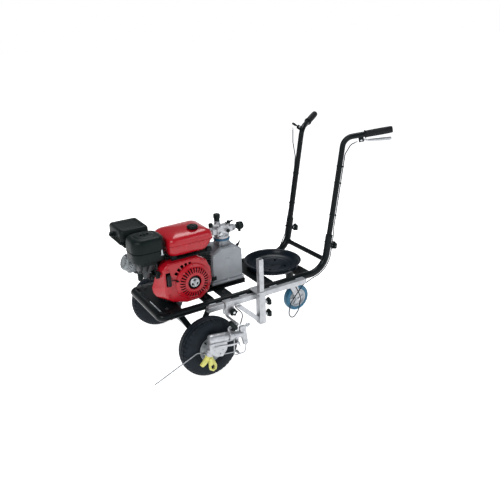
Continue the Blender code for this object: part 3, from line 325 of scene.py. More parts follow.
class Shape:
    """Closed bodies gathered into one visible piece."""

    def __init__(self, at=None):
        self.bm = bmesh.new()
        self.at = at or Matrix.Identity(4)

    def take(self, bm, bevel=0.0, seg=2):
        """Add a finished body, with its edges of more than about 29 degrees bevelled."""
        bmesh.ops.recalc_face_normals(bm, faces=bm.faces)
        if bevel:
            edges = [e for e in bm.edges if len(e.link_faces) == 2 and e.calc_face_angle(0) > 0.5]
            bmesh.ops.bevel(bm, geom=edges, offset=bevel, segments=seg, profile=0.5, affect="EDGES",
                clamp_overlap=True)
        bm.transform(self.at)
        me = bpy.data.meshes.new("part")
        bm.to_mesh(me)
        bm.free()
        self.bm.from_mesh(me)
        bpy.data.meshes.remove(me)
        return self

    def rings(self, rows, closed=False, bevel=0.0, seg=2):
        """Skin a stack of closed rings, capped at both ends or joined end to end."""
        bm = bmesh.new()
        rows = [[bm.verts.new(p) for p in row] for row in rows]
        n = len(rows[0])
        pairs = list(zip(rows, rows[1:]))
        if closed:
            pairs.append((rows[-1], rows[0]))
        for a, b in pairs:
            for i in range(n):
                j = (i + 1) % n
                bm.faces.new((a[i], a[j], b[j], b[i]))
        if not closed:
            bm.faces.new(list(reversed(rows[0])))
            bm.faces.new(rows[-1])
        return self.take(bm, bevel, seg)

    def lathe(self, center, direction, profile, n=48, closed=False, wave=None, turn=0.0):
        """Turn (distance along, radius) pairs about an axis; wave(k, angle) scales radius k."""
        c, d = Vector(center), Vector(direction).normalized()
        u, v = axes_for(d)
        rows = []
        for k, (s, r) in enumerate(profile):
            row = []
            for i in range(n):
                a = turn + 2 * pi * i / n
                rr = r * wave(k, a) if wave else r
                row.append(c + d * s + (u * cos(a) + v * sin(a)) * rr)
            rows.append(row)
        return self.rings(rows, closed)

    def rod(self, a, b, r, n=24, edge=0.0):
        a, b = Vector(a), Vector(b)
        length = (b - a).length
        e = edge or min(r, length) * 0.12
        return self.lathe(a, b - a, [(0, r - e), (e, r), (length - e, r), (length, r - e)], n)

    def tube(self, path, r, n=16, bore=0.0, depth=0.0, ripple=0.0):
        """A round bar along a path, with an optional blind bore in its far end."""
        pts = [Vector(p) for p in path]
        ways = []
        for i, p in enumerate(pts):
            before = (p - pts[i - 1]).normalized() if i else (pts[1] - p).normalized()
            after = (pts[i + 1] - p).normalized() if i < len(pts) - 1 else before
            ways.append((before + after).normalized())
        u, v = axes_for(ways[0])
        rows = []

        def ring(p, radius):
            return [p + u * (radius * cos(2 * pi * k / n))
                    + v * (radius * sin(2 * pi * k / n)) for k in range(n)]
        for i, (p, t) in enumerate(zip(pts, ways)):
            if i:
                u = ways[i - 1].rotation_difference(t) @ u
            u = (u - t * u.dot(t)).normalized()
            v = t.cross(u).normalized()
            rows.append(ring(p, r * (1 + ripple * (i % 2))))
        if bore:
            rows += [ring(pts[-1], bore), ring(pts[-1] - ways[-1] * depth, bore)]
        return self.rings(rows)

    def loop(self, path, r, n=10):
        """A wire bent into a closed loop."""
        pts = [Vector(p) for p in path]
        rows = []
        for i, p in enumerate(pts):
            t = (pts[(i + 1) % len(pts)] - pts[i - 1]).normalized()
            u = (p - sum(pts, Vector()) / len(pts))
            u = (u - t * u.dot(t)).normalized()
            v = t.cross(u)
            rows.append([p + (u * cos(2 * pi * k / n) + v * sin(2 * pi * k / n)) * r for k in range(n)])
        return self.rings(rows, True)

    def box(self, lo, hi, bevel=0.0, seg=2):
        bm = bmesh.new()
        bmesh.ops.create_cube(bm, size=1.0)
        lo, hi = Vector(lo), Vector(hi)
        for vert in bm.verts:
            vert.co = Vector([(lo[k] + hi[k]) / 2 + vert.co[k] * (hi[k] - lo[k]) for k in range(3)])
        return self.take(bm, bevel, seg)

    def plate(self, center, a, b, c, size, bevel=0.0, seg=2):
        """A box with its edges along three unit vectors."""
        rows = [[center + a * (h * size[0]) + b * (p * size[1]) + c * (q * size[2]) for p,
            q in ((-0.5, -0.5), (0.5, -0.5), (0.5, 0.5), (-0.5, 0.5))] for h in (-0.5, 0.5)]
        return self.rings(rows, False, bevel, seg)

    def prism(self, outline, axis, lo, hi, bevel=0.0, seg=2):
        """Extrude a 2D outline; its axes are (y, z), (x, z) or (x, y)."""
        place = {"x": lambda p, h: (h, p[0], p[1]), "y": lambda p, h: (p[0], h, p[1]),
            "z": lambda p, h: (p[0], p[1], h)}[axis]
        return self.rings([[Vector(place(p, h)) for p in outline] for h in (lo, hi)], False, bevel,
            seg)

    def bolt(self, p, d, size=0.0055, washer=True):
        """Hexagon head with a washer; p is on the surface and d points out of it."""
        p, d = Vector(p), Vector(d).normalized()
        if washer:
            self.lathe(p, d, [(0, size * 1.45), (0.0009, size * 1.5), (0.0014, size * 1.4)], 20)
        self.lathe(p, d, [(0.001, size * 1.1), (size * 0.85, size * 1.1), (size, size * 0.9)], 6)
        return self.lathe(p, d, [(size * 0.9, size * 0.5), (size * 1.25, size * 0.5),
            (size * 1.3, size * 0.4)], 12)

    def screw(self, p, d, size=0.004):
        """Round head with a hexagon socket."""
        return self.lathe(p, d, [(0, size), (size * 0.9, size), (size * 1.05, size * 0.85),
            (size * 1.05, size * 0.5), (size * 0.5, size * 0.45)], 12)

    def bead(self, path, r=0.003):
        """A weld bead along a path."""
        dense = []
        pts = [Vector(p) for p in path]
        for a, b in zip(pts, pts[1:]):
            steps = max(1, round((b - a).length / 0.0022))
            dense += [a.lerp(b, k / steps) for k in range(steps)]
        return self.tube(dense + [pts[-1]], r, 8, ripple=0.16)

    def hoop(self, center, direction, radius, r=0.0026):
        """A weld bead round a joint."""
        u, v = axes_for(direction)
        c = Vector(center)
        ring = [c + (u * cos(pi * k / 24) + v * sin(pi * k / 24)) * radius for k in range(49)]
        return self.bead(ring, r)

    def cut(self, other):
        """Take another shape's bodies away from this one."""
        pair = []
        for shape in (self, other):
            me = bpy.data.meshes.new("part")
            shape.bm.to_mesh(me)
            shape.bm.free()
            ob = bpy.data.objects.new("part", me)
            bpy.context.scene.collection.objects.link(ob)
            pair.append(ob)
        mod = pair[0].modifiers.new("cut", "BOOLEAN")
        mod.operation, mod.solver, mod.object = "DIFFERENCE", "EXACT", pair[1]
        mod.use_self = True
        bpy.context.view_layer.update()
        graph = bpy.context.evaluated_depsgraph_get()
        me = bpy.data.meshes.new_from_object(pair[0].evaluated_get(graph))
        for ob in pair:
            bpy.data.meshes.remove(ob.data)
        self.bm = bmesh.new()
        self.bm.from_mesh(me)
        bpy.data.meshes.remove(me)
        return self

    def done(self, name, finish, body, slot=None, nodes=(), angle=35):
        """Make the piece, let it ride its body and stand in for the CAD nodes named."""
        me = bpy.data.meshes.new(name)
        self.bm.to_mesh(me)
        self.bm.free()
        me.materials.append(LOOKS[finish])
        me.shade_smooth()
        me.set_sharp_from_angle(angle=radians(angle))
        ob = bpy.data.objects.new(name, me)
        bpy.context.scene.collection.objects.link(ob)
        ob.location = SHIFT
        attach(ob, body)
        if nodes:
            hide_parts(*nodes)
        return ob


def keep(node, finish, bevel=0.0008, seg=2):
    """Show a CAD solid as it is, with its sharp edges broken and a procedural finish."""
    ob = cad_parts[node]
    ob.data.materials.clear()
    ob.data.materials.append(LOOKS[finish])
    weld = ob.modifiers.new("weld", "WELD")
    weld.merge_threshold = 0.00001
    if bevel:
        flat = ob.modifiers.new("flat", "DECIMATE")
        flat.decimate_type = "DISSOLVE"
        flat.angle_limit = radians(1)
        soft = ob.modifiers.new("soft", "BEVEL")
        soft.width, soft.segments, soft.limit_method = bevel, seg, "ANGLE"
        soft.angle_limit = radians(38)
        soft.harden_normals = False


def keep_all(finish, **bevels):
    for node, bevel in bevels.items():
        keep(node, finish, bevel)


def upright_point(z, s):
    """Centre of a rear upright at height z, on side s."""
    return Vector((s * RAIL_X, CORNER_Y + (z - RAIL_Z) * tan(LEAN), z))


UP_DIR = Vector((0, sin(LEAN), cos(LEAN)))
UP_BACK = Vector((0, cos(LEAN), -sin(LEAN)))


# ---------------------------------------------------------------- frame
def build_frame():
    for s, side in SIDES:
        top = upright_point(SLEEVE_TOP_Z, s)
        path = fillet([(s * RAIL_X, RAIL_FRONT + 0.0003, RAIL_Z), (s * RAIL_X, CORNER_Y, RAIL_Z),
            top], 0.11, 16)
        tube = Shape()
        tube.tube(path, RAIL_R, 32, 0.0143, 0.086)
        knob = upright_point(0.4, s)
        tube.lathe(knob + UP_BACK * 0.0165, UP_BACK, [(0, 0.005), (0, 0.0095), (0.0062, 0.0095),
            (0.007, 0.0085), (0.007, 0.005)], 6, True, turn=0.5)
        tube.hoop(knob + UP_BACK * 0.0172, UP_BACK, 0.0098, 0.0018)
        tube.done("side_tube_" + side, "frame_black", "chassis", None, ["frame_side_tube_" + side])
        keep("axle_bracket_" + side, "frame_black", 0.001)

    front = fillet([(-RAIL_X, RAIL_FRONT, RAIL_Z), (-RAIL_X, -0.166, RAIL_Z),
        (RAIL_X, -0.166, RAIL_Z), (RAIL_X, RAIL_FRONT, RAIL_Z)], 0.042, 12)
    Shape().tube(front, RAIL_R, 32).done("front_tube", "frame_black", "chassis", None,
        ["frame_front_tube"])
    bar = upright_point(0.326, 1)
    x = RAIL_X - RAIL_R - 0.0003
    Shape().rod((-x, bar.y, bar.z), (x, bar.y, bar.z), 0.0125, 32).done("crossbar", "frame_black",
        "chassis", None, ["frame_crossbar"])
    keep_all("frame_black", base_plate=0.001, tray_crossmember=0.001, caster_crossmember=0.001)

    weld = Shape()
    for s, side in SIDES:
        weld.hoop((s * RAIL_X, RAIL_FRONT, RAIL_Z), Y, RAIL_R, 0.0022)
        weld.hoop((s * (x + 0.0005), bar.y, bar.z), X, 0.0128, 0.0026)
        inner = s * (RAIL_X - 0.0128)
        for y0, y1 in ((-0.145, -0.061), (0.051, 0.104), (0.143, 0.199), (0.361, 0.429)):
            weld.bead([(inner, y0, DECK_TOP - 0.0035), (inner, y1, DECK_TOP - 0.0035)], 0.0028)
        weld.bead([(s * 0.1495, y, DECK_TOP - 0.0255)
                   for y in (CASTER_Y - 0.039, CASTER_Y + 0.039)], 0.003)
        for dx in (-0.0045, 0.0045):
            for y0, y1 in ((-0.084, -0.056), (0.056, 0.084)):
                weld.bead([(s * RAIL_X + dx, y0, 0.255), (s * RAIL_X + dx, y1, 0.255)], 0.0024)
    weld.hoop((0, CASTER_Y, DECK_TOP - 0.0345), Z, 0.0215, 0.0028)
    weld.done("frame_welds", "frame_black", "chassis")

    bolts = Shape()
    for px in (-0.072, 0.06):
        for py in (-0.075, 0.083):
            bolts.bolt((px, CRANK_Y + py + 0.004, BASE_Z + 0.012), Z, 0.006)
    for s, side in SIDES:
        for x, y in ((0.125, 0.172), (0.125, 0.077), (0.128, -0.118), (0.128, 0.395)):
            bolts.bolt((s * x, y, DECK_TOP), Z, 0.0055)
        for y in (CASTER_Y - 0.026, CASTER_Y + 0.026):
            bolts.bolt((s * 0.052, y, DECK_TOP - 0.026), Z, 0.005)
    bolts.lathe((0, CASTER_Y + 0.0205, 0.225), (0, 1, 0.4), [(0, 0.003), (0.004, 0.003),
        (0.004, 0.0022), (0.009, 0.0026), (0.01, 0.001)], 10)
    bolts.done("frame_bolts", "carb_cast", "chassis", "steel")


# ---------------------------------------------------------------- front wheels
def tread_profile():
    """(offset across the tyre, radius, kind of surface) from one bead to the other."""
    half = [(0.028, 0.0566, ""), (0.0305, 0.059, ""), (0.0318, 0.0625, ""), (0.035, 0.07, ""),
        (0.037, 0.075, ""), (0.0376, 0.0762, ""), (0.0384, 0.0775, ""), (0.0388, 0.08, ""),
        (0.0394, 0.086, ""), (0.0399, 0.093, ""), (0.0399, 0.1, ""), (0.0395, 0.106, ""),
        (0.0388, 0.111, ""), (0.0384, 0.1118, ""), (0.0388, 0.1128, ""), (0.0384, 0.116, ""),
        (0.0374, 0.12, ""), (0.036, 0.124, "lug"), (0.0343, 0.1272, "lug"), (0.0318, 0.1302, "lug"),
        (0.029, 0.1325, "lug"), (0.0262, 0.1342, "lug"), (0.025, 0.1347, ""),
        (0.0242, 0.1349, "gap"), (0.0218, 0.1358, "gap"), (0.021, 0.1361, ""),
        (0.02, 0.1364, "mid"), (0.015, 0.1378, "mid"), (0.0118, 0.1385, "mid"),
        (0.0108, 0.1387, ""), (0.01, 0.1388, "gap"), (0.0078, 0.1391, "gap"), (0.007, 0.1392, ""),
        (0.006, 0.1395, "rib"), (0.002, 0.14, "rib")]
    return ([(-s, r, kind, 0) for s, r, kind in half] + [(s, r, kind, 1) for s, r,
        kind in reversed(half)])


def build_wheels():
    cells, per = 40, 8
    for s, side in SIDES:
        c = Vector((s * TRACK_X, 0, AXLE_Z))
        body = "wheel_" + side
        rows = tread_profile()

        def depth(k, a):
            across, r, kind, far = rows[k]
            step = int(round(a / (2 * pi) * cells * per)) + (per // 2 if far else 0)
            phase = step % per
            if kind == "gap":
                return 1 - 0.0048 / r
            if kind == "lug" and phase < 3:
                return 1 - 0.004 * min(1.0, (r - 0.121) / 0.008) / r
            if kind == "mid" and phase == 1:
                return 1 - 0.0026 / r
            return 1.0
        tyre = Shape().lathe(c, X, [(a, r) for a, r, kind, far in rows], cells * per, True, depth)
        tyre.done("tyre_" + side, "tyre_rubber", body, None, ["front_tyre_" + side], angle=28)

        rim = Shape()
        half = [(0.0104, 0.03), (0.02, 0.03), (0.021, 0.029), (0.022, 0.014), (0.025, 0.011),
            (0.03, 0.01), (0.039, 0.0085), (0.044, 0.0105), (0.048, 0.018), (0.051, 0.0262),
            (0.0535, 0.029), (0.057, 0.0305), (0.0592, 0.0325), (0.0598, 0.0345), (0.059, 0.0352),
            (0.0572, 0.034)]
        face = [(a, r) for r, a in half]
        inner = [(0.03, 0.055), (0.028, 0.0545)]
        profile = face + inner + mirrored(inner) + mirrored(face)
        rim.lathe(c, X, profile, 96, True)
        for a in angles(4, pi / 4):
            spot = c + spoke(a)[0] * 0.0345
            for f in (1, -1):
                rim.bolt(spot + X * (f * 0.009), X * f, 0.0048)
        for a in angles(24):
            way = spoke(a)[0]
            for f in (1, -1):
                rim.plate(c + way * 0.024 + X * (f * 0.0128), X, way, X.cross(way),
                    (0.0012, 0.005, 0.0016), 0.0004)
        rim.done("rim_" + side, "rim_grey", body, None, ["front_rim_" + side])

        valve = Shape()
        spot = c + Vector((0, -0.03, 0.036))
        valve.rod(spot + X * (s * 0.01), spot + X * (s * 0.026) + Vector((0, 0.004, -0.005)),
            0.0036, 16)
        valve.rod(spot + X * (s * 0.0255) + Vector((0, 0.004, -0.005)),
            spot + X * (s * 0.0335) + Vector((0, 0.006, -0.007)), 0.003, 12)
        valve.lathe(c + X * (s * 0.0296), X * s, [(0, 0.0106), (0, 0.017), (0.0012, 0.0165),
            (0.0012, 0.0106)], 40, True)
        valve.done("valve_" + side, "black_plastic", body)

    axle = Shape()
    axle.rod((-TRACK_X - 0.04, 0, AXLE_Z), (TRACK_X + 0.04, 0, AXLE_Z), 0.0098, 32, 0.0012)
    for s, side in SIDES:
        at = Vector((s * (TRACK_X + 0.0322), 0, AXLE_Z))
        axle.lathe(at - X * s * 0.0008, X * s, [(0, 0.0165), (0.0006, 0.0172), (0.002, 0.0165)], 32)
        axle.lathe(at, X * s, [(0.001, 0.014), (0.0055, 0.015), (0.0072, 0.0128)], 6)
        axle.lathe((s * (TRACK_X - 0.034), 0, AXLE_Z), X * s, [(0, 0.014), (0.0022, 0.015),
            (0.0032, 0.0145)], 32)
        axle.lathe((s * (RAIL_X - 0.0085), 0, AXLE_Z), X * s, [(0, 0.0145), (0.004, 0.015)], 6)
        axle.lathe((s * (RAIL_X + 0.0044), 0, AXLE_Z), X * s, [(0, 0.015), (0.0045, 0.014)], 6)
    axle.done("axle", "steel", "chassis", None, ["front_axle"])


# ---------------------------------------------------------------- caster
def build_caster():
    z = GROUND + CASTER_R
    c = Vector((0, CASTER_Y + CASTER_TRAIL, z))
    w = CASTER_W / 2
    half = [(w - 0.002, 0.0506), (w - 0.0006, 0.053), (w, 0.058), (w, 0.064), (w - 0.0015, 0.0682),
        (w - 0.0045, 0.0706), (w - 0.009, 0.0717), (w - 0.014, 0.072)]
    profile = [(-a, r) for a, r in half] + [(a, r) for a, r in reversed(half)]
    Shape().lathe(c, X, profile, 96, True).done("caster_tread", "caster_tread", "caster_wheel",
        None, ["caster_tyre"])
    hub = Shape()
    half = [(0.021, 0.0056), (0.021, 0.013), (0.02, 0.0142), (0.01, 0.0158), (0.0075, 0.019),
        (0.007, 0.038), (0.0095, 0.042), (0.015, 0.045), (0.0172, 0.0475), (0.0175, 0.0496)]
    hub.lathe(c, X, half + mirrored(half), 80, True)
    for a in angles(6):
        way = spoke(a)[0]
        for f in (1, -1):
            hub.plate(c + way * 0.029 + X * (f * 0.0095), way, X.cross(way), X,
                (0.028, 0.0032, 0.008), 0.001)
    hub.done("caster_rim", "rim_grey", "caster_wheel", None, ["caster_hub"])

    keep("caster_fork", "silver_metal", 0.0008)
    trim = Shape()
    top = z + CASTER_R + 0.012
    for s in (1, -1):
        trim.lathe(c + X * (s * 0.0291), X * s, [(0, 0.01), (0.0008, 0.0102), (0.0012, 0.0098)], 24)
        trim.lathe(c + X * (s * 0.03), X * s, [(0, 0.008), (0.0042, 0.0086), (0.0052, 0.007)], 6)
    trim.lathe((0, CASTER_Y, top + 0.0042), Z, [(0, 0.027), (0.0018, 0.029), (0.0045, 0.029),
        (0.006, 0.0262), (0.0105, 0.0245), (0.0118, 0.02)], 48)
    trim.done("caster_race", "zinc", "caster_swivel", "silver_metal")


# ---------------------------------------------------------------- handles, levers, knobs
def star_knob(name, body, center, direction, r, height, neck, stud_r, stud_len, node):
    """A five-lobed knob on its threaded stud."""
    c, d = Vector(center), Vector(direction).normalized()
    depth = [0.0, 0.0, 0.1, 0.24, 0.27, 0.27, 0.24, 0.16, 0.05, 0.0, 0.0, 0.0]
    profile = [(neck - 0.0005, r * 0.4), (neck + height * 0.1, r * 0.43),
        (neck + height * 0.2, r * 0.86), (neck + height * 0.3, r * 0.97), (neck + height * 0.5, r),
        (neck + height * 0.72, r), (neck + height * 0.88, r * 0.95),
        (neck + height * 0.97, r * 0.8), (neck + height, r * 0.52), (neck + height, r * 0.4),
        (neck + height * 0.95, r * 0.36), (neck + height * 0.95, r * 0.1)]

    def lobes(k, a):
        return 1 - depth[k] * (0.5 - 0.5 * cos(5 * a)) ** 0.8
    Shape().lathe(c, d, profile, 60, False, lobes).done(name, "black_plastic", body, None, [node],
        angle=50)
    stud = Shape()
    stud.rod(c - d * stud_len, c + d * (neck + 0.001), stud_r, 20)
    turns = max(2, round((neck + stud_len) / 0.0016))
    for k in range(turns):
        at = c + d * (-stud_len + (k + 0.5) * (neck + stud_len) / turns)
        stud.lathe(at, d, [(-0.0006, stud_r), (-0.0001, stud_r * 1.07), (0.0001, stud_r * 1.07),
            (0.0006, stud_r)], 20)
    if neck > 0.008:
        stud.lathe(c + d * (neck - 0.0045), d, [(0, stud_r * 1.7), (0.0038, stud_r * 1.75)], 6)
    stud.lathe(c + d * (neck + height * 0.94), d, [(0, r * 0.3), (0.0006, r * 0.3),
        (0.0008, r * 0.27)], 24)
    stud.done(name + "_stud", "zinc", body, "steel")


def build_handles():
    for s, side in SIDES:
        body = "handle_" + side
        corner = upright_point(HANDLE_TOP_Z, s)
        g = Vector((s * GRIP_DIR.x, GRIP_DIR.y, GRIP_DIR.z))
        ends = [upright_point(SLEEVE_TOP_Z - 0.082, s), corner, corner + g * GRIP_REACH]
        tube = Shape().tube(fillet(ends, 0.055, 18), HANDLE_R, 28)
        coarse = fillet(ends, 0.055, 6)
        if s > 0:
            drop = (-Z + g * g.z).normalized()
            across, along = g.cross(drop).normalized(), g
            hub = corner + g * 0.08
            length = 0.024
        else:
            along = (coarse[5] - coarse[3]).normalized()
            ahead = Vector((0, -1, 0.1))
            drop = (ahead - along * ahead.dot(along)).normalized()
            across = along.cross(drop).normalized()
            hub = coarse[4]
            length = 0.02
        pivot = hub + drop * 0.0255
        for f in (1, -1):
            tube.plate(hub + drop * 0.0215 + across * (f * 0.0041), along, drop, across,
                (length, 0.0245, 0.003), 0.0012)
        for k in (-1, 1):
            tube.bead([hub + drop * 0.0128 + across * 0.0045 + along * (k * 0.011 - 0.009 * k),
                hub + drop * 0.0128 + across * 0.0045 + along * (k * 0.011)], 0.0018)
        tube.done("handle_tube_" + side + "_round", "frame_black", body, None,
            ["handle_tube_" + side])
        pin = Shape().rod(pivot - across * 0.0062, pivot + across * 0.0062, 0.003, 16)
        for way in (across, -across):
            pin.lathe(pivot + way * 0.0056, way, [(0, 0.0052), (0.0026, 0.005), (0.0032, 0.004)], 6)
        pin.done("lever_pin_" + side, "zinc", body, "steel")

        lever = Shape()
        if s > 0:
            # drop of the upper face, distance along, half width, depth of the blade
            pts = [(-0.0045, -0.004, 0.0019, 0.009), (-0.0048, 0.008, 0.0019, 0.0092),
                (-0.0034, 0.019, 0.0022, 0.009), (-0.0006, 0.027, 0.0048, 0.0088),
                (0.0012, 0.034, 0.0072, 0.0092), (0.0024, 0.05, 0.0082, 0.0108),
                (0.0044, 0.08, 0.0088, 0.0126), (0.0066, 0.11, 0.009, 0.014),
                (0.0082, 0.132, 0.0086, 0.0146), (0.0088, 0.138, 0.0074, 0.0136),
                (0.0096, 0.1405, 0.0046, 0.011)]
            finish = "silver_metal"
        else:
            pts = [(-0.003, -0.004, 0.0019, 0.006), (-0.003, 0.006, 0.0019, 0.006),
                (-0.0032, 0.014, 0.0034, 0.0064), (-0.004, 0.02, 0.0064, 0.0078),
                (-0.0044, 0.032, 0.007, 0.0086), (-0.004, 0.039, 0.0066, 0.008),
                (-0.0026, 0.0418, 0.004, 0.0052)]
            finish = "black_plastic"
        face, reach = (drop, along) if s > 0 else (along, drop)
        rows = []
        for top, a, half, depth in pts:
            p = pivot + face * (top + depth / 2) + reach * a
            ring = []
            for t in angles(24):
                cx, cy = squarish(t, 0.5)
                ring.append(p + across * (half * cx) + face * (depth / 2 * cy))
            rows.append(ring)
        lever.rings(rows).done("lever_blade_" + side, finish,
            "squeeze_lever" if s > 0 else "forward_lever", None, ["lever_" + side])

        base, length = corner + g * 0.098, 0.132
        inner = HANDLE_R + 0.0002
        grip = [(0, inner), (0, 0.0172), (0.0008, 0.019), (0.003, 0.0196), (0.005, 0.019),
            (0.0064, 0.0172)]
        count = 22
        for k in range(count):
            a = 0.009 + k * (length - 0.022) / count
            b = (length - 0.022) / count
            swell = 0.0164 + 0.0006 * sin(k / count * pi)
            grip += [(a, swell - 0.0007), (a + b * 0.25, swell), (a + b * 0.7, swell),
                (a + b * 0.95, swell - 0.0007)]
        grip += [(length - 0.009, 0.0162), (length - 0.003, 0.0156), (length, 0.0134),
            (length, 0.0042), (length - 0.003, 0.0042), (length - 0.004, inner)]
        Shape().lathe(base, g, grip, 40, True).done("grip_ribbed_" + side, "grip_rubber", body,
            None, ["grip_" + side])
        star_knob("clamp_star_" + side, "clamp_knob_" + side,
            upright_point(0.4, s) + UP_BACK * (RAIL_R + 0.0085), UP_BACK, 0.0215, 0.02, 0.005,
            0.004, 0.0088, "handle_knob_" + side)
        collar = Shape()
        top = upright_point(SLEEVE_TOP_Z, s)
        collar.lathe(top - UP_DIR * 0.001, UP_DIR, [(0, 0.0138), (0, 0.0179), (0.003, 0.0179),
            (0.0042, 0.0168), (0.0042, 0.0138)], 36, True)
        collar.done("sleeve_collar_" + side, "black_plastic", "chassis")


# ---------------------------------------------------------------- side rail, post and carriage
def build_side_rail():
    keep_all("silver_metal", accessory_rail=0.0014, height_sleeve=0.001, height_post=0.0011,
        gun_carriage=0.0012)
    back = SLEEVE_Y + 0.0165 + 0.0012
    for name, z in (("upper", 0.23), ("lower", 0.168)):
        star_knob("post_star_" + name, "post_clamp_" + name, (POST_X, back, z), Y, 0.0205, 0.018,
            0.016, 0.0041, 0.005, "post_knob_" + name)
    face = RODS_X + 0.0125 + 0.007
    star_knob("carriage_star", "carriage_clamp", (face + 0.0012, CARRIAGE_Y + 0.012, 0.231), X,
        0.0195, 0.016, 0.003, 0.0041, 0.007, "carriage_knob")

    weld = Shape()
    for y0, y1 in ((0.062, 0.098), (0.222, 0.262), (0.392, 0.432), (0.545, 0.588)):
        weld.bead([(0.1855, y0, RAIL_Z + 0.0062), (0.1855, y1, RAIL_Z + 0.0062)], 0.0019)
        weld.bead([(0.185, y0, RAIL_Z - 0.0205), (0.185, y1, RAIL_Z - 0.0205)], 0.0017)
    for x in (POST_X - 0.0165, POST_X + 0.0062):
        weld.bead([(x, SLEEVE_Y - 0.0178, 0.137), (x, SLEEVE_Y - 0.0178, 0.163)], 0.002)
    weld.done("rail_welds", "silver_metal", "chassis")

    trim = Shape()
    for z in (0.23, 0.168):
        trim.lathe((POST_X, SLEEVE_Y + 0.0162, z), Y, [(0, 0.0088), (0.0055, 0.0092),
            (0.0062, 0.008)], 6)
    for y in (-0.018, 0.018):
        trim.bolt((RAIL_X + 0.012, SLEEVE_Y + y, DECK_TOP + 0.0044), Z, 0.0042)
    trim.done("sleeve_nuts", "zinc", "chassis", "steel")

    bolts = Shape()
    for y in (-0.015, 0.015):
        bolts.bolt((face - 0.0004, CARRIAGE_Y + y, 0.268), X, 0.0036)
        bolts.bolt((RODS_X + 0.002, CARRIAGE_Y + y, RAIL_Z + 0.0102), Z, 0.0034)
    bolts.lathe((face - 0.0004, CARRIAGE_Y + 0.012, 0.231), X, [(0, 0.0078), (0.001, 0.0078),
        (0.0012, 0.006)], 6)
    bolts.done("carriage_bolts", "zinc", "carriage", "steel")


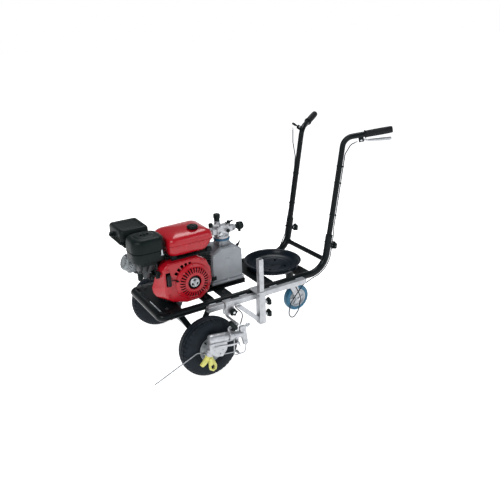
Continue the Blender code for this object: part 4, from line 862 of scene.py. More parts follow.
# ---------------------------------------------------------------- spray gun
def build_gun():
    rear, nose = Vector((GUN_X, 0.142, 0.1865)), Vector((GUN_X, -0.032, 0.211))
    d, length = (nose - rear).normalized(), (nose - rear).length
    seat = Vector((GUN_X, -0.034, 0.1335))
    h = Vector((0, -0.27, -0.963)).normalized()
    pivot = Vector((0.328, 0.118, 0.0895))
    up = Vector((0, -d.z, d.y)) * -1
    gun = Shape()
    gun.lathe(rear, d, [(-0.0005, 0.008), (0.001, 0.01), (0.006, 0.0135), (0.01, 0.0148),
        (0.052, 0.015), (0.053, 0.0143), (0.08, 0.0143), (0.0808, 0.0152), (0.0846, 0.0152),
        (0.0862, 0.019), (0.088, 0.02), (0.108, 0.02), (0.1088, 0.0191), (0.1112, 0.0191),
        (0.112, 0.02), (0.15, 0.02), (0.1508, 0.0188), (0.154, 0.0188), (0.1548, 0.0199),
        (length - 0.008, 0.0198), (length - 0.0028, 0.0182), (length - 0.0005, 0.0148),
        (length, 0.008)], 56)
    gun.plate(rear + d * 0.03 - up * 0.005, d, X, up, (0.046, 0.019, 0.019), 0.004)
    casting = [(-0.036, 0.195), (0.05, 0.186), (0.052, 0.158), (0.047, 0.142), (0.026, 0.116),
        (-0.01, 0.124), (-0.036, 0.15)]
    gun.prism(round_outline(casting, 0.006, 4), "x", GUN_X - 0.0165, GUN_X + 0.0165, 0.004, 3)
    raised = [(-0.026, 0.176), (0.041, 0.168), (0.043, 0.155), (0.038, 0.144), (0.022, 0.126),
        (-0.005, 0.132), (-0.026, 0.154)]
    gun.prism(round_outline(raised, 0.005, 4), "x", GUN_X - 0.0176, GUN_X + 0.0176, 0.0012, 2)
    gun.lathe(seat - h * 0.0295, h, [(0, 0.012), (0.003, 0.016), (0.009, 0.016), (0.0098, 0.0148),
        (0.012, 0.0148), (0.0128, 0.0162), (0.0292, 0.0162)], 44)
    gun.lathe(seat - h * 0.016, h, [(0, 0.0158), (0.001, 0.0168), (0.012, 0.0168), (0.013, 0.016)],
        6)
    grip = [(0.1205, 0.223), (0.129, 0.2262), (0.15, 0.225), (0.1525, 0.205), (0.156, 0.17),
        (0.1612, 0.1345), (0.154, 0.129), (0.1395, 0.128), (0.1375, 0.145), (0.1318, 0.165),
        (0.1262, 0.19)]
    gun.prism(round_outline(grip, 0.006, 3), "x", GUN_X - 0.0076, GUN_X + 0.0076, 0.0022, 3)
    panel = [(0.128, 0.212), (0.145, 0.214), (0.148, 0.198), (0.151, 0.166), (0.155, 0.14),
        (0.145, 0.138), (0.1375, 0.166), (0.132, 0.19)]
    gun.prism(round_outline(panel, 0.004, 3), "x", GUN_X - 0.0088, GUN_X + 0.0088, 0.001, 2)
    wire = fillet([(GUN_X, 0.154, 0.137), (GUN_X, 0.146, pivot.z), (GUN_X, 0.09, pivot.z),
        (GUN_X, 0.094, 0.185)], 0.012, 8)
    gun.tube(wire, 0.0027, 14)
    gun.rod(pivot + X * 0.0034, (GUN_X, pivot.y, pivot.z), 0.0036, 20)
    gun.lathe(pivot + X * 0.006, X, [(0, 0.0062), (0.0058, 0.0062), (0.0066, 0.0052)], 6)
    gun.done("gun_casting", "silver_metal", "carriage", None, ["gun_body"])

    link = Shape()
    strap = [(-0.012, 0.179), (0.07, 0.165), (0.11, 0.161), (0.112, 0.154), (0.07, 0.156),
        (-0.012, 0.17)]
    for f in (1, -1):
        x = GUN_X + f * 0.0188
        link.prism(round_outline(strap, 0.003, 3), "x", min(x, x + f * 0.0018),
            max(x, x + f * 0.0018), 0.0005)
    for yy, zz, r in ((-0.004, 0.1735, 0.0026), (0.1075, 0.1575, 0.0022)):
        link.rod((GUN_X - 0.0205, yy, zz), (GUN_X + 0.0206, yy, zz), r, 16)
    link.done("trigger_straps", "silver_metal", "carriage")

    fit = Shape()
    back = Vector((0, 1, 0.3)).normalized()
    at = Vector((GUN_X, 0.144, 0.215))
    fit.lathe(at, back, [(0, 0.0062), (0.006, 0.0062), (0.0062, 0.0088), (0.0125, 0.0088),
        (0.0127, 0.0066), (0.015, 0.0066), (0.0152, 0.0085), (0.0222, 0.0085), (0.0224, 0.0062),
        (0.03, 0.006), (0.0318, 0.0052), (0.0318, 0.003), (0.024, 0.003)], 24)
    fit.lathe(at + back * 0.0158, back, [(0, 0.0098), (0.0058, 0.0098), (0.0064, 0.0088)], 6)
    for k in range(6):
        fit.lathe(at + back * (0.0238 + 0.001 * k), back, [(0, 0.006), (0.0004, 0.0066),
            (0.0008, 0.006)], 24)
    fit.lathe(rear + d * 0.001, -d, [(0, 0.0072), (0.0052, 0.0072), (0.0062, 0.0058)], 6)
    for yy, zz in ((0.14, 0.205), (0.149, 0.148), (0.1075, 0.17)):
        fit.screw((GUN_X + 0.0087, yy, zz), X, 0.0032)
    for yy, zz in ((-0.014, 0.158), (0.028, 0.148), (0.014, 0.134)):
        fit.screw((GUN_X + 0.0175, yy, zz), X, 0.003)
    for k, r in ((0.03, 0.0146), (0.1, 0.0196), (0.132, 0.0196), (0.162, 0.0194)):
        fit.screw(rear + d * k + up * r, up, 0.0028)
    fit.rod((GUN_X - 0.009, 0.1075, 0.17), (GUN_X + 0.009, 0.1075, 0.17), 0.0024, 16)
    for f in (1, -1):
        fit.plate(Vector((GUN_X + f * 0.0066, 0.106, 0.177)), Y, Z, X, (0.013, 0.02, 0.0026), 0.001)
    fit.lathe((GUN_X, 0.128, 0.224), Z, [(-0.002, 0.0062), (0.0016, 0.0062), (0.0018, 0.0044),
        (0.0024, 0.004)], 6)
    fit.done("gun_fittings", "zinc", "carriage", "silver_metal")

    lever = [(0.104, 0.173), (0.1115, 0.1735), (0.115, 0.156), (0.121, 0.137), (0.124, 0.1292),
        (0.1205, 0.128), (0.1165, 0.137), (0.1105, 0.1545)]
    Shape().prism(round_outline(lever, 0.002, 3), "x", GUN_X - 0.0046, GUN_X + 0.0046,
        0.0014).done("trigger_lever", "steel", "trigger", None, ["gun_trigger"])

    mid = rear + d * 0.0687
    start = Vector((RODS_X + 0.004, CARRIAGE_Y - 0.008, 0.2157))
    radial = Vector((-0.6, 0.8 * d.z, -0.8 * d.y))
    path = fillet([start, start - Z * 0.0125, (GUN_X - 0.02, 0.128, 0.225), mid + radial * 0.034,
        mid + radial * 0.018], 0.012, 6)
    arm = Shape().tube(path, 0.006, 24)
    arm.lathe(mid - d * 0.0092, d, [(0, 0.0153), (0, 0.0199), (0.0008, 0.0205), (0.0176, 0.0205),
        (0.0184, 0.0199), (0.0184, 0.0153)], 44, True)
    for k in (-0.0092, 0.0092):
        arm.hoop(mid + d * k, d, 0.0182, 0.001)
    arm.lathe(start - Z * 0.0008, -Z, [(0, 0.01), (0.0055, 0.01), (0.0065, 0.0084)], 6)
    arm.done("arm_rod", "silver_metal", "carriage", None, ["gun_arm"])
    way = Vector((0, -0.6, 0.8))
    base = Vector((GUN_X, 0.106, 0.2215))
    star = Shape()
    star.lathe(base, way, [(0.0, 0.007), (0.001, 0.0096), (0.004, 0.0108), (0.006, 0.0112),
        (0.044, 0.0112), (0.048, 0.0104), (0.05, 0.0085), (0.05, 0.003)], 56,
        wave=flutes(0.1, 2, 5, 10))
    star.done("arm_knob", "black_plastic", "carriage")
    stud = Shape().rod(base - way * 0.018, base + way * 0.002, 0.004, 20)
    stud.lathe(base - way * 0.0075, way, [(0, 0.0076), (0.005, 0.0076), (0.0058, 0.0062)], 6)
    stud.done("arm_stud", "zinc", "carriage", "steel")

    tip = Shape()
    tip.lathe(seat, h, [(0, 0.016), (0.0008, 0.017), (0.012, 0.017), (0.014, 0.016),
        (0.021, 0.0142), (0.022, 0.0128), (0.022, 0.005), (0.015, 0.004)], 60,
        wave=flutes(0.05, 1, 2, 12))
    blade = [(-0.051, 0.132), (-0.0378, 0.1089), (-0.055, 0.095), (-0.07, 0.088), (-0.0811, 0.0997),
        (-0.068, 0.113)]
    tip.prism(round_outline(blade, 0.003, 3), "x", GUN_X - 0.005, GUN_X + 0.005, 0.0016)
    ear = [(-0.04, 0.13), (-0.02, 0.123), (-0.0085, 0.098), (-0.0003, 0.0757), (-0.0033, 0.0572),
        (-0.019, 0.0493), (-0.0371, 0.062), (-0.0395, 0.0976)]
    gap = [(-0.0262, 0.104), (-0.0185, 0.09), (-0.0105, 0.0735), (-0.013, 0.062), (-0.02, 0.0585),
        (-0.029, 0.0665), (-0.03, 0.09)]
    shield = Shape().prism(round_outline(ear, 0.006, 4), "x", GUN_X - 0.005, GUN_X + 0.005, 0.0016)
    shield.cut(Shape().prism(round_outline(gap, 0.003, 3), "x", GUN_X - 0.02, GUN_X + 0.02))
    shield.done("tip_loop", "yellow_plastic", "carriage")
    tip.done("tip_shroud", "yellow_plastic", "carriage", None, ["tip_guard"])

    at = seat + h * 0.0085
    flip = Shape().rod(at - X * 0.013, at + X * 0.0182, 0.0049, 28)
    flag = [(0.0058, 0.005), (0.0066, -0.002), (0.01, -0.027), (0.002, -0.033), (-0.006, -0.027),
        (-0.0078, -0.012), (-0.006, 0.004), (0, 0.0062)]
    flag = round_outline([(at.y + a, at.z + b) for a, b in flag], 0.003, 3)
    flip.prism(flag, "x", at.x + 0.0175, at.x + 0.0222, 0.0012)
    flip.prism([(at.y + 0.3 * (a - at.y) + 0.001, at.z - 0.009 + 0.55 * (b - at.z + 0.012)) for a,
        b in flag], "x", at.x + 0.017, at.x + 0.0225, 0.0005)
    flip.done("flip_tip", "yellow_plastic", "tip", None, ["spray_tip"])

    path = fillet([(pivot.x, 0.122, 0.0888), (pivot.x, 0.035, 0.101), (pivot.x, -0.078, 0.148),
        (0.348, -0.292, 0.08)], 0.03, 10)
    rod = Shape().tube(path, 0.0026, 16)
    rod.lathe(path[-1] - (path[-1] - path[-2]).normalized() * 0.004, path[-1] - path[-2],
        [(0, 0.0026), (0.0026, 0.0026), (0.0038, 0.0014)], 16)
    rod.loop([pivot + Vector((0, cos(t) * 0.006, sin(t) * 0.006)) for t in angles(24)], 0.0021, 10)
    rod.done("pointer_rod", "steel", "pointer", None, ["guide_pointer"])


# ---------------------------------------------------------------- bucket tray
def build_tray():
    r, z0 = TRAY_R, BASE_Z
    profile = [(0.0, 0.004), (0.0, r - 0.022), (0.001, r - 0.0185), (0.003, r - 0.0155),
        (0.008, r - 0.0128), (0.02, r - 0.0108), (0.026, r - 0.01), (0.0285, r - 0.0085),
        (0.0297, r - 0.005), (0.0298, r - 0.0012), (0.031, r + 0.0), (0.0335, r - 0.0002),
        (0.0348, r - 0.002), (0.0348, r - 0.006), (0.0343, r - 0.0095), (0.032, r - 0.0125),
        (0.026, r - 0.0165), (0.018, r - 0.0215), (0.0105, r - 0.029), (0.006, r - 0.04),
        (0.0046, r - 0.048), (0.0056, r - 0.05), (0.0056, r - 0.054), (0.004, r - 0.056),
        (0.003, r - 0.062), (0.003, 0.05), (0.0038, 0.048), (0.0038, 0.044), (0.003, 0.042),
        (0.003, 0.004)]
    Shape().lathe((0, TRAY_Y, z0), Z, profile, 120, True).done("tray_dish", "tray_black", "chassis",
        "frame_black", ["bucket_tray"])
    fix = Shape()
    for dx, dy in on_circle(4, 0.065, pi / 4):
        fix.screw((dx, TRAY_Y + dy, z0 + 0.003), Z, 0.005)
    fix.lathe((0, TRAY_Y, z0 + 0.0005), Z, [(0, 0.0038), (0.003, 0.009), (0.0042, 0.008)], 24)
    fix.done("tray_screws", "frame_black", "chassis")


# ---------------------------------------------------------------- engine
def turned(angle, center):
    """Matrix that tilts about X through a point."""
    c = Vector(center)
    return Matrix.Translation(c) @ Matrix.Rotation(angle, 4, "X") @ Matrix.Translation(-c)


def rounded(x0, x1, y0, y1, r, n=7):
    """Outline of a rounded rectangle."""
    pts = []
    for cx, cy, start in ((x1 - r, y1 - r, 0), (x0 + r, y1 - r, 90), (x0 + r, y0 + r, 180),
            (x1 - r, y0 + r, 270)):
        for k in range(n + 1):
            a = radians(start + 90 * k / n)
            pts.append((cx + r * cos(a), cy + r * sin(a)))
    return pts


def pillow(shape, x0, x1, y0, y1, r, levels, warp=None):
    """Stack rounded rectangles, each (height, inset from the full outline)."""
    rows = []
    for z, inset in levels:
        rad = max(0.003, r - inset * 0.45)
        row = [Vector((x, y, z)) for x, y in rounded(x0 + inset, x1 - inset, y0 + inset, y1 - inset,
            rad)]
        rows.append([warp(p) if warp else p for p in row])
    return shape.rings(rows)


def cover_outline():
    y = CRANK_Y
    pts = [(y - 0.135, 0.345), (y - 0.1, 0.322), (y - 0.035, 0.302), (y + 0.038, 0.304),
        (y + 0.078, 0.335), (y + 0.096, 0.385), (y + 0.093, 0.44), (y + 0.072, 0.488),
        (y + 0.036, 0.508), (y - 0.112, 0.508), (y - 0.138, 0.49), (y - 0.138, 0.398)]
    return round_outline(pts, 0.02, 6)


def inset_outline(pts, amount):
    """Move a counter-clockwise or clockwise outline inwards."""
    n = len(pts)
    area = sum(pts[i][0] * pts[(i + 1) % n][1] - pts[(i + 1) % n][0] * pts[i][1] for i in range(n))
    sign = 1 if area > 0 else -1
    out = []
    for i in range(n):
        a, b = Vector(pts[i - 1]), Vector(pts[(i + 1) % n])
        t = (b - a).normalized()
        out.append((pts[i][0] - sign * t.y * amount, pts[i][1] + sign * t.x * amount))
    return out


def build_crankcase():
    y, z = CRANK_Y, CRANK_Z
    keep("engine_crankcase", "engine_cast", 0.0016)
    fins = Shape()
    for k in range(13):
        zz = 0.338 + 0.0122 * k
        fins.box((-0.074, y + 0.083, zz), (0.0865, y + 0.1035, zz + 0.0046), 0.001, 1)
    for k in range(5):
        fins.box((-0.08, y - 0.0885, 0.33 + 0.014 * k), (0.084, y - 0.076, 0.334 + 0.014 * k),
            0.001, 1)
    for k in range(7):
        fins.box((-0.076 + 0.0235 * k, y - 0.05, 0.498), (-0.071 + 0.0235 * k, y + 0.06, 0.5085),
            0.001, 1)
    fins.done("case_fins", "engine_cast", "chassis")
    block = Shape(turned(LIFT, (0, y, z)))
    for k in range(10):
        yy = y - 0.196 + 0.0122 * k
        block.box((-0.066, yy, z - 0.057), (0.058, yy + 0.0034, z + 0.04), 0.0012, 1)
    block.done("barrel_fins", "engine_cast", "chassis")

    head = Shape(turned(LIFT, (0, y, z)))
    head.box((-0.062, y - 0.2135, z - 0.05), (0.048, y - 0.2005, z + 0.031), 0.004)
    for k in range(6):
        zz = z - 0.044 + 0.0125 * k
        head.box((-0.06, y - 0.236, zz), (0.0465, y - 0.21, zz + 0.004), 0.001, 1)
    head.box((-0.05, y - 0.235, z - 0.046), (0.036, y - 0.212, z + 0.024), 0.006)
    head.done("head_block", "head_cast", "chassis")
    c = Vector((-0.014, y - 0.235, z - 0.016))
    drum = Shape(turned(LIFT, (0, y, z)))
    drum.lathe(c, -Y, [(-0.004, 0.044), (0.003, 0.0445), (0.004, 0.0435), (0.004, 0.0395),
        (0.006, 0.0385), (0.028, 0.037), (0.035, 0.035), (0.039, 0.031), (0.0405, 0.026),
        (0.0395, 0.024), (0.0395, 0.015), (0.041, 0.013), (0.041, 0.004)], 64)
    for dx, dz in on_circle(4, 0.0405, pi / 4):
        drum.bolt(c + Vector((dx, -0.003, dz)), -Y, 0.004)
    drum.done("rocker_drum", "head_cast", "chassis", None, ["cylinder_head"])
    # Dark rods set in the drum's perforations: painted shade inside the holes.
    hole_shade = Shape(turned(LIFT, (0, y, z)))
    for ring, count in ((0.0195, 10), (0.0095, 5), (0.0285, 16)):
        for dx, dz in on_circle(count, ring):
            spot = c + Vector((dx, -0.035, dz))
            hole_shade.rod(spot, spot - Y * (0.0048 if ring < 0.02 else 0.0052), 0.002, 10)
    for row in range(3):
        for k in range(22):
            a = 2 * pi * (k + 0.5 * (row % 2)) / 22
            way = Vector((cos(a), 0, sin(a)))
            spot = c - Y * (0.0105 + 0.0075 * row) + way * (0.036 - 0.0004 * row)
            hole_shade.rod(spot, spot + way * 0.0024, 0.0021, 10)
    hole_shade.done("drum_hole_shade", "hole_shade_and_rope_black", "chassis", "engine_cast")

    bits = Shape()
    for px, pz in ((-0.07, 0.48), (0.07, 0.48), (-0.07, 0.33), (0.07, 0.325)):
        bits.bolt((px, y - 0.077, pz), -Y, 0.0045)
    for px in (0.04, -0.04):
        bits.bolt((px, y - 0.077, 0.312), -Y, 0.0075)
    for dy, dz in on_circle(6, 0.068, 0.3):
        bits.bolt((-0.0895, y + dy, z + dz), -X, 0.0045)
    for dy, dz in on_circle(4, 0.034, 0.4):
        bits.bolt((-0.1115, y + dy, z + dz), -X, 0.0035)
    bits.rod((0.045, y - 0.15, 0.437), (0.045, y - 0.163, 0.452), 0.005, 6)
    bits.done("engine_bolts", "zinc", "chassis", "steel")
    cap = Shape()
    cap.lathe((-0.06, y - 0.0785, 0.345), (0, -1, 0.6), [(0, 0.013), (0.01, 0.013), (0.012, 0.011)],
        24)
    cap.lathe((-0.06, y - 0.0865, 0.35), (0, -1, 0.6), [(0, 0.01), (0.014, 0.0095), (0.016, 0.008)],
        8)
    cap.done("oil_filler", "black_plastic", "chassis")


def build_fan_cover():
    y, z = CRANK_Y, CRANK_Z
    outer = cover_outline()
    levels = [(0.0885, 0.0), (0.14, 0.0), (0.1445, 0.0008), (0.1478, 0.003), (0.1494, 0.0062),
        (0.15, 0.01), (0.15, 0.014)]

    def flare(x, a, b):
        """The skirt spreads towards the front and the bottom at its back edge."""
        low = min(1.0, max(0.0, (0.45 - b) / 0.06))
        front = min(1.0, max(0.0, (y - 0.05 - a) / 0.08))
        corner = min(1.0, max(0.15, (b - 0.315) / 0.07))
        amount = low * front * max(0.0, 1 - (x - 0.0885) / 0.0515)
        return Vector((x, a - 0.04 * amount * corner, b - 0.008 * amount))
    rows = [[flare(x, a, b) for a, b in inset_outline(outer, d)] for x, d in levels]
    inner = [(0.1465, 0.014), (0.144, 0.0085), (0.138, 0.0045), (0.0885, 0.004)]
    hollow = [[Vector((x, a, b)) for a, b in inset_outline(outer, d)] for x,
        d in [(0.08, 0.004)] + list(reversed(inner))]
    cover = Shape().rings(rows)
    tools = Shape().rings(hollow)
    tools.rod((0.13, y, z), (0.2, y, z), 0.079, 72)
    tools.box((0.14, y - 0.129, 0.403), (0.16, y - 0.107, 0.469), 0.004, 3)
    for k in range(5):
        a = radians(97 + 12.0 * k)
        way, side = spoke(a)
        deep = 0.011 + 0.007 * min(1.0, k / 2)
        tools.plate(Vector((0.15, y, z)) + way * (0.0862 + deep / 2), X, way, side,
            (0.03, deep, 0.0135), 0.002, 1)
    cover.cut(tools)
    for py, pz in COVER_SCREWS:
        cover.lathe((0.1485, y + py, pz), X, [(0, 0.0085), (0.002, 0.0082), (0.0028, 0.007)], 24)
    cover.done("fan_shell", "red_paint", "chassis", None, ["fan_cover"])
    # Dark plate and disc behind the cover and the recoil grille: painted shade in the cavity.
    back = Shape()
    back.rings([[Vector((x, a, b)) for a,
        b in inset_outline(outer, 0.006)] for x in (0.122, 0.124)])
    back.rod((0.12, y, z), (0.157, y, z), 0.074, 64)
    back.done("fan_shadow", "hole_shade_and_rope_black", "chassis", "engine_cast")
    screws = Shape()
    for py, pz in COVER_SCREWS:
        screws.bolt((0.1508, y + py, pz), X, 0.0042, False)
    screws.done("cover_screws", "red_paint", "chassis", "steel")

    start = Shape()
    ring = [(0.1502, 0.079), (0.1502, 0.085), (0.1512, 0.086), (0.153, 0.0855), (0.1548, 0.0835),
        (0.1565, 0.079), (0.1585, 0.0735), (0.16, 0.0706), (0.1612, 0.0694), (0.159, 0.069),
        (0.156, 0.073), (0.153, 0.0785)]
    start.lathe((0, y, z), X, ring, 108, True)
    plain = [(0.164, 0.032), (0.1668, 0.0325), (0.1686, 0.034), (0.1692, 0.036), (0.1692, 0.0455),
        (0.1686, 0.0468), (0.1655, 0.0466), (0.165, 0.033)]
    start.lathe((0, y, z), X, plain, 96, True)
    for a in angles(SPOKES):
        way, side = spoke(a)
        rows = []
        for r, x, wide in ((0.0455, 0.169, 0.0044), (0.05, 0.1688, 0.005), (0.058, 0.1678, 0.0062),
                (0.064, 0.1656, 0.007), (0.0685, 0.1622, 0.0076), (0.0705, 0.1602, 0.008)):
            p = Vector((x, y, z)) + way * r
            rows.append([p - side * wide / 2 - X * 0.0022, p + side * wide / 2 - X * 0.0022,
                p + side * (wide / 2 - 0.0005), p - side * (wide / 2 - 0.0005)])
        start.rings(rows)
    for dy, dz in on_circle(3, 0.0815, pi / 2):
        start.lathe((0.15, y + dy, z + dz), X, [(0, 0.0072), (0.005, 0.007), (0.0058, 0.006)], 24)
    start.done("recoil_grille", "red_paint", "chassis", None, ["recoil_housing"], angle=30)
    small = Shape()
    for dy, dz in on_circle(3, 0.0815, pi / 2):
        small.bolt((0.1556, y + dy, z + dz), X, 0.0034, False)
    small.done("recoil_bolts", "red_paint", "chassis", "steel")

    hub = Shape()
    hub.lathe((0, y, z), X, [(0.14, 0.01), (0.14, 0.0222), (0.164, 0.0226), (0.1672, 0.022),
        (0.169, 0.0205), (0.169, 0.018), (0.1668, 0.0168), (0.1655, 0.012), (0.1668, 0.009),
        (0.17, 0.008), (0.1706, 0.004)], 60)
    for a in angles(3, radians(30)):
        way, side = spoke(a)
        hub.plate(Vector((0.168, y, z)) + way * 0.012, way, side, X, (0.014, 0.0085, 0.004), 0.001)
    hub.bolt((0.1702, y, z), X, 0.005, False)
    hub.done("starter_cup", "silver_metal", "crank", None, ["starter_pulley"])
    # Dark plates in the starter cup's slots: painted shade inside them.
    dark = Shape()
    for a in angles(3, pi / 2):
        way, side = spoke(a)
        dark.plate(Vector((0.1668, y, z)) + way * 0.014, way, side, X, (0.011, 0.009, 0.0016),
            0.0004)
    dark.done("cup_slot_shade", "hole_shade_and_rope_black", "crank", "engine_cast")

    c = Vector((0.16, y - 0.118, 0.436))
    rows = []
    for dz, hx, hy in ((-0.0262, 0.004, 0.0046), (-0.0255, 0.0062, 0.0066),
            (-0.0235, 0.0078, 0.0078), (-0.012, 0.0088, 0.0084), (0.0, 0.0078, 0.0074),
            (0.012, 0.0088, 0.0084), (0.0235, 0.0078, 0.0078), (0.0255, 0.0062, 0.0066),
            (0.0262, 0.004, 0.0046)):
        row = []
        for t in angles(24):
            cx, cy = squarish(t, 0.6)
            row.append(c + Vector((0.001 + hx * cx, hy * cy, dz)))
        rows.append(row)
    Shape().rings(rows).done("pull_grip", "grip_rubber", "pull_handle", "black_plastic",
        ["starter_handle"], angle=60)
    rope = fillet([c + Vector((0.001, 0.006, -0.002)), c + Vector((0.0, 0.02, -0.003)),
        Vector((0.157, y - 0.07, 0.418))], 0.01, 5)
    Shape().tube(rope, 0.0018, 10).done("starter_rope", "hole_shade_and_rope_black", "chassis", "black_plastic")
    eye = Shape().lathe(Vector((0.156, y - 0.079, 0.4225)), (0.25, -1, 0.5),
        [(-0.004, 0.0048), (0.004, 0.0048), (0.0052, 0.0038), (0.0052, 0.0024), (-0.004, 0.0024)],
        20, True)
    eye.done("rope_eye", "black_plastic", "chassis")


def build_engine_top():
    y = CRANK_Y

    def crown(p):
        ty, tx = (p.y - y - 0.0175) / 0.1115, (p.x - 0.0365) / 0.1
        lift = max(0.0, (p.z - 0.585) / 0.041)
        taper = max(0.0, (0.574 - p.z) / 0.05) * max(0.0, ty)
        return Vector((p.x, p.y - 0.04 * taper,
            p.z - lift * (0.007 * ty * ty + 0.0035 * tx * tx + 0.006 * max(-ty, 0))))
    tank = Shape()
    pillow(tank, -0.062, 0.135, y - 0.094, y + 0.129, 0.03, [(0.524, 0.024), (0.5253, 0.016),
        (0.529, 0.0095), (0.536, 0.0045), (0.548, 0.0022), (0.569, 0.0014), (0.57, 0.0),
        (0.5706, -0.0006), (0.5744, -0.0006), (0.575, 0.0), (0.576, 0.0016), (0.588, 0.002),
        (0.599, 0.0034), (0.6075, 0.0064), (0.614, 0.0118), (0.619, 0.02), (0.6224, 0.031),
        (0.6246, 0.046), (0.6258, 0.064), (0.6263, 0.09)], crown)
    tank.done("tank_shell", "red_paint", "chassis", None, ["fuel_tank"], angle=40)
    straps = Shape()
    for px in (-0.04, 0.112):
        for py in (y - 0.07, y + 0.104):
            straps.box((px - 0.011, py - 0.012, 0.506), (px + 0.011, py + 0.012, 0.529), 0.002)
    straps.box((-0.055, y - 0.075, 0.5085), (0.125, y + 0.108, 0.5145), 0.002)
    straps.done("tank_mounts", "engine_cast", "chassis")

    c = (0.081, y + 0.046, 0.6225)
    cap = Shape()
    cap.lathe(c, Z, [(0, 0.0215), (0.003, 0.025), (0.0042, 0.0256), (0.0095, 0.025),
        (0.0128, 0.0225), (0.0143, 0.018), (0.0136, 0.015), (0.0136, 0.011), (0.0149, 0.009),
        (0.0152, 0.003)], 96, wave=flutes(0.035, 2, 3, 24))
    cap.plate(Vector(c) + Z * 0.015, X, Y, Z, (0.03, 0.0075, 0.004), 0.0016)
    cap.done("cap_knurled", "black_plastic", "tank_cap", None, ["fuel_cap"], angle=50)

    clean = Shape()
    pillow(clean, -0.004, 0.13, y - 0.252, y - 0.1, 0.044, [(0.519, 0.016), (0.5202, 0.009),
        (0.5235, 0.0035), (0.529, 0.001), (0.566, 0.001), (0.5668, -0.0008), (0.569, -0.0008),
        (0.5698, 0.0024), (0.5716, 0.0024), (0.5724, 0.0), (0.6, 0.0006), (0.614, 0.002),
        (0.6215, 0.0042), (0.6268, 0.0082), (0.6302, 0.0135), (0.6322, 0.0195), (0.6328, 0.024),
        (0.6316, 0.0262), (0.6316, 0.029), (0.6332, 0.0315), (0.6342, 0.042), (0.6346, 0.056)])
    clean.box((0.052, y - 0.225, 0.508), (0.118, y - 0.145, 0.54), 0.006, 2)
    clean.box((0.01, y - 0.19, 0.518), (0.06, y - 0.12, 0.538), 0.004, 2)
    clean.done("filter_case", "black_plastic", "chassis", None, ["air_cleaner"], angle=40)
    nut = Shape()
    top = Vector((0.063, y - 0.176, 0.634))
    nut.lathe(top, Z, [(0, 0.011), (0.0012, 0.0105), (0.0018, 0.006), (0.006, 0.005)], 24)
    for f in (1, -1):
        nut.plate(top + X * (f * 0.0085) + Z * 0.004, X, Y, Z, (0.011, 0.0026, 0.0052), 0.001)
    nut.done("filter_nut", "black_plastic", "chassis")
    clips = Shape()
    clips.box((0.129, y - 0.134, 0.55), (0.1314, y - 0.122, 0.554), 0.0006)
    clips.box((0.1294, y - 0.1315, 0.554), (0.132, y - 0.1245, 0.574), 0.0006)
    clips.done("filter_clips", "steel", "chassis")


def build_carburettor():
    y = CRANK_Y
    carb = Shape()
    carb.box((0.056, y - 0.212, 0.4745), (0.1, y - 0.158, 0.509), 0.005)
    carb.rod((0.078, y - 0.224, 0.494), (0.078, y - 0.146, 0.494), 0.0165, 32, 0.002)
    carb.box((0.05, y - 0.2265, 0.476), (0.106, y - 0.2205, 0.512), 0.003)
    carb.box((0.05, y - 0.15, 0.476), (0.106, y - 0.144, 0.512), 0.003)
    carb.lathe((0.08, y - 0.19, 0.476), -Z, [(-0.002, 0.0205), (0.002, 0.0205), (0.0028, 0.0182),
        (0.025, 0.0176), (0.031, 0.015), (0.0345, 0.01), (0.035, 0.006)], 40)
    carb.box((0.03, y - 0.205, 0.484), (0.058, y - 0.165, 0.506), 0.004)
    carb.done("carb_body", "carb_cast", "chassis", "steel", ["carburettor"])
    bits = Shape()
    bits.bolt((0.08, y - 0.19, 0.441), -Z, 0.0048)
    bits.screw((0.1, y - 0.176, 0.497), X, 0.0036)
    bits.screw((0.1, y - 0.2, 0.501), X, 0.003)
    bits.bolt((0.106, y - 0.2235, 0.482), X, 0.0036)
    bits.bolt((0.056, y - 0.2265, 0.505), -Y, 0.0036)
    bits.bolt((0.099, y - 0.2265, 0.483), -Y, 0.004)
    bits.rod((0.095, y - 0.186, 0.508), (0.095, y - 0.186, 0.52), 0.0026, 12)
    coil = [Vector((0.1085 + 0.0034 * cos(t), y - 0.16 + 0.0034 * sin(t),
        0.47 + 0.0016 * t / 2)) for t in [pi * k / 6 for k in range(60)]]
    bits.tube(coil, 0.0006, 6)
    bits.plate(Vector((0.11, y - 0.185, 0.488)), Y, Vector((0, 0.4, 1)).normalized(), X,
        (0.012, 0.04, 0.0018), 0.0006)
    bits.rod((0.101, y - 0.185, 0.486), (0.112, y - 0.185, 0.486), 0.003, 14)
    bits.done("carb_links", "carb_cast", "chassis", "steel")
    lever = Shape()
    lever.tube(fillet([(0.111, y - 0.15, 0.47), (0.118, y - 0.138, 0.464),
        (0.136, y - 0.148, 0.466)], 0.006, 4), 0.0032, 12)
    lever.plate(Vector((0.112, y - 0.15, 0.456)), Y, Z, X, (0.018, 0.036, 0.0026), 0.0008)
    lever.rod((0.106, y - 0.15, 0.45), (0.116, y - 0.15, 0.45), 0.006, 20)
    lever.box((0.06, y - 0.225, 0.43), (0.076, y - 0.205, 0.47), 0.003)
    lever.tube(fillet([(0.08, y - 0.172, 0.456), (0.104, y - 0.15, 0.44), (0.104, y - 0.112, 0.47),
        (0.1, y - 0.09, 0.52)], 0.02, 6), 0.0034, 12)
    lever.done("choke_levers", "black_plastic", "chassis")


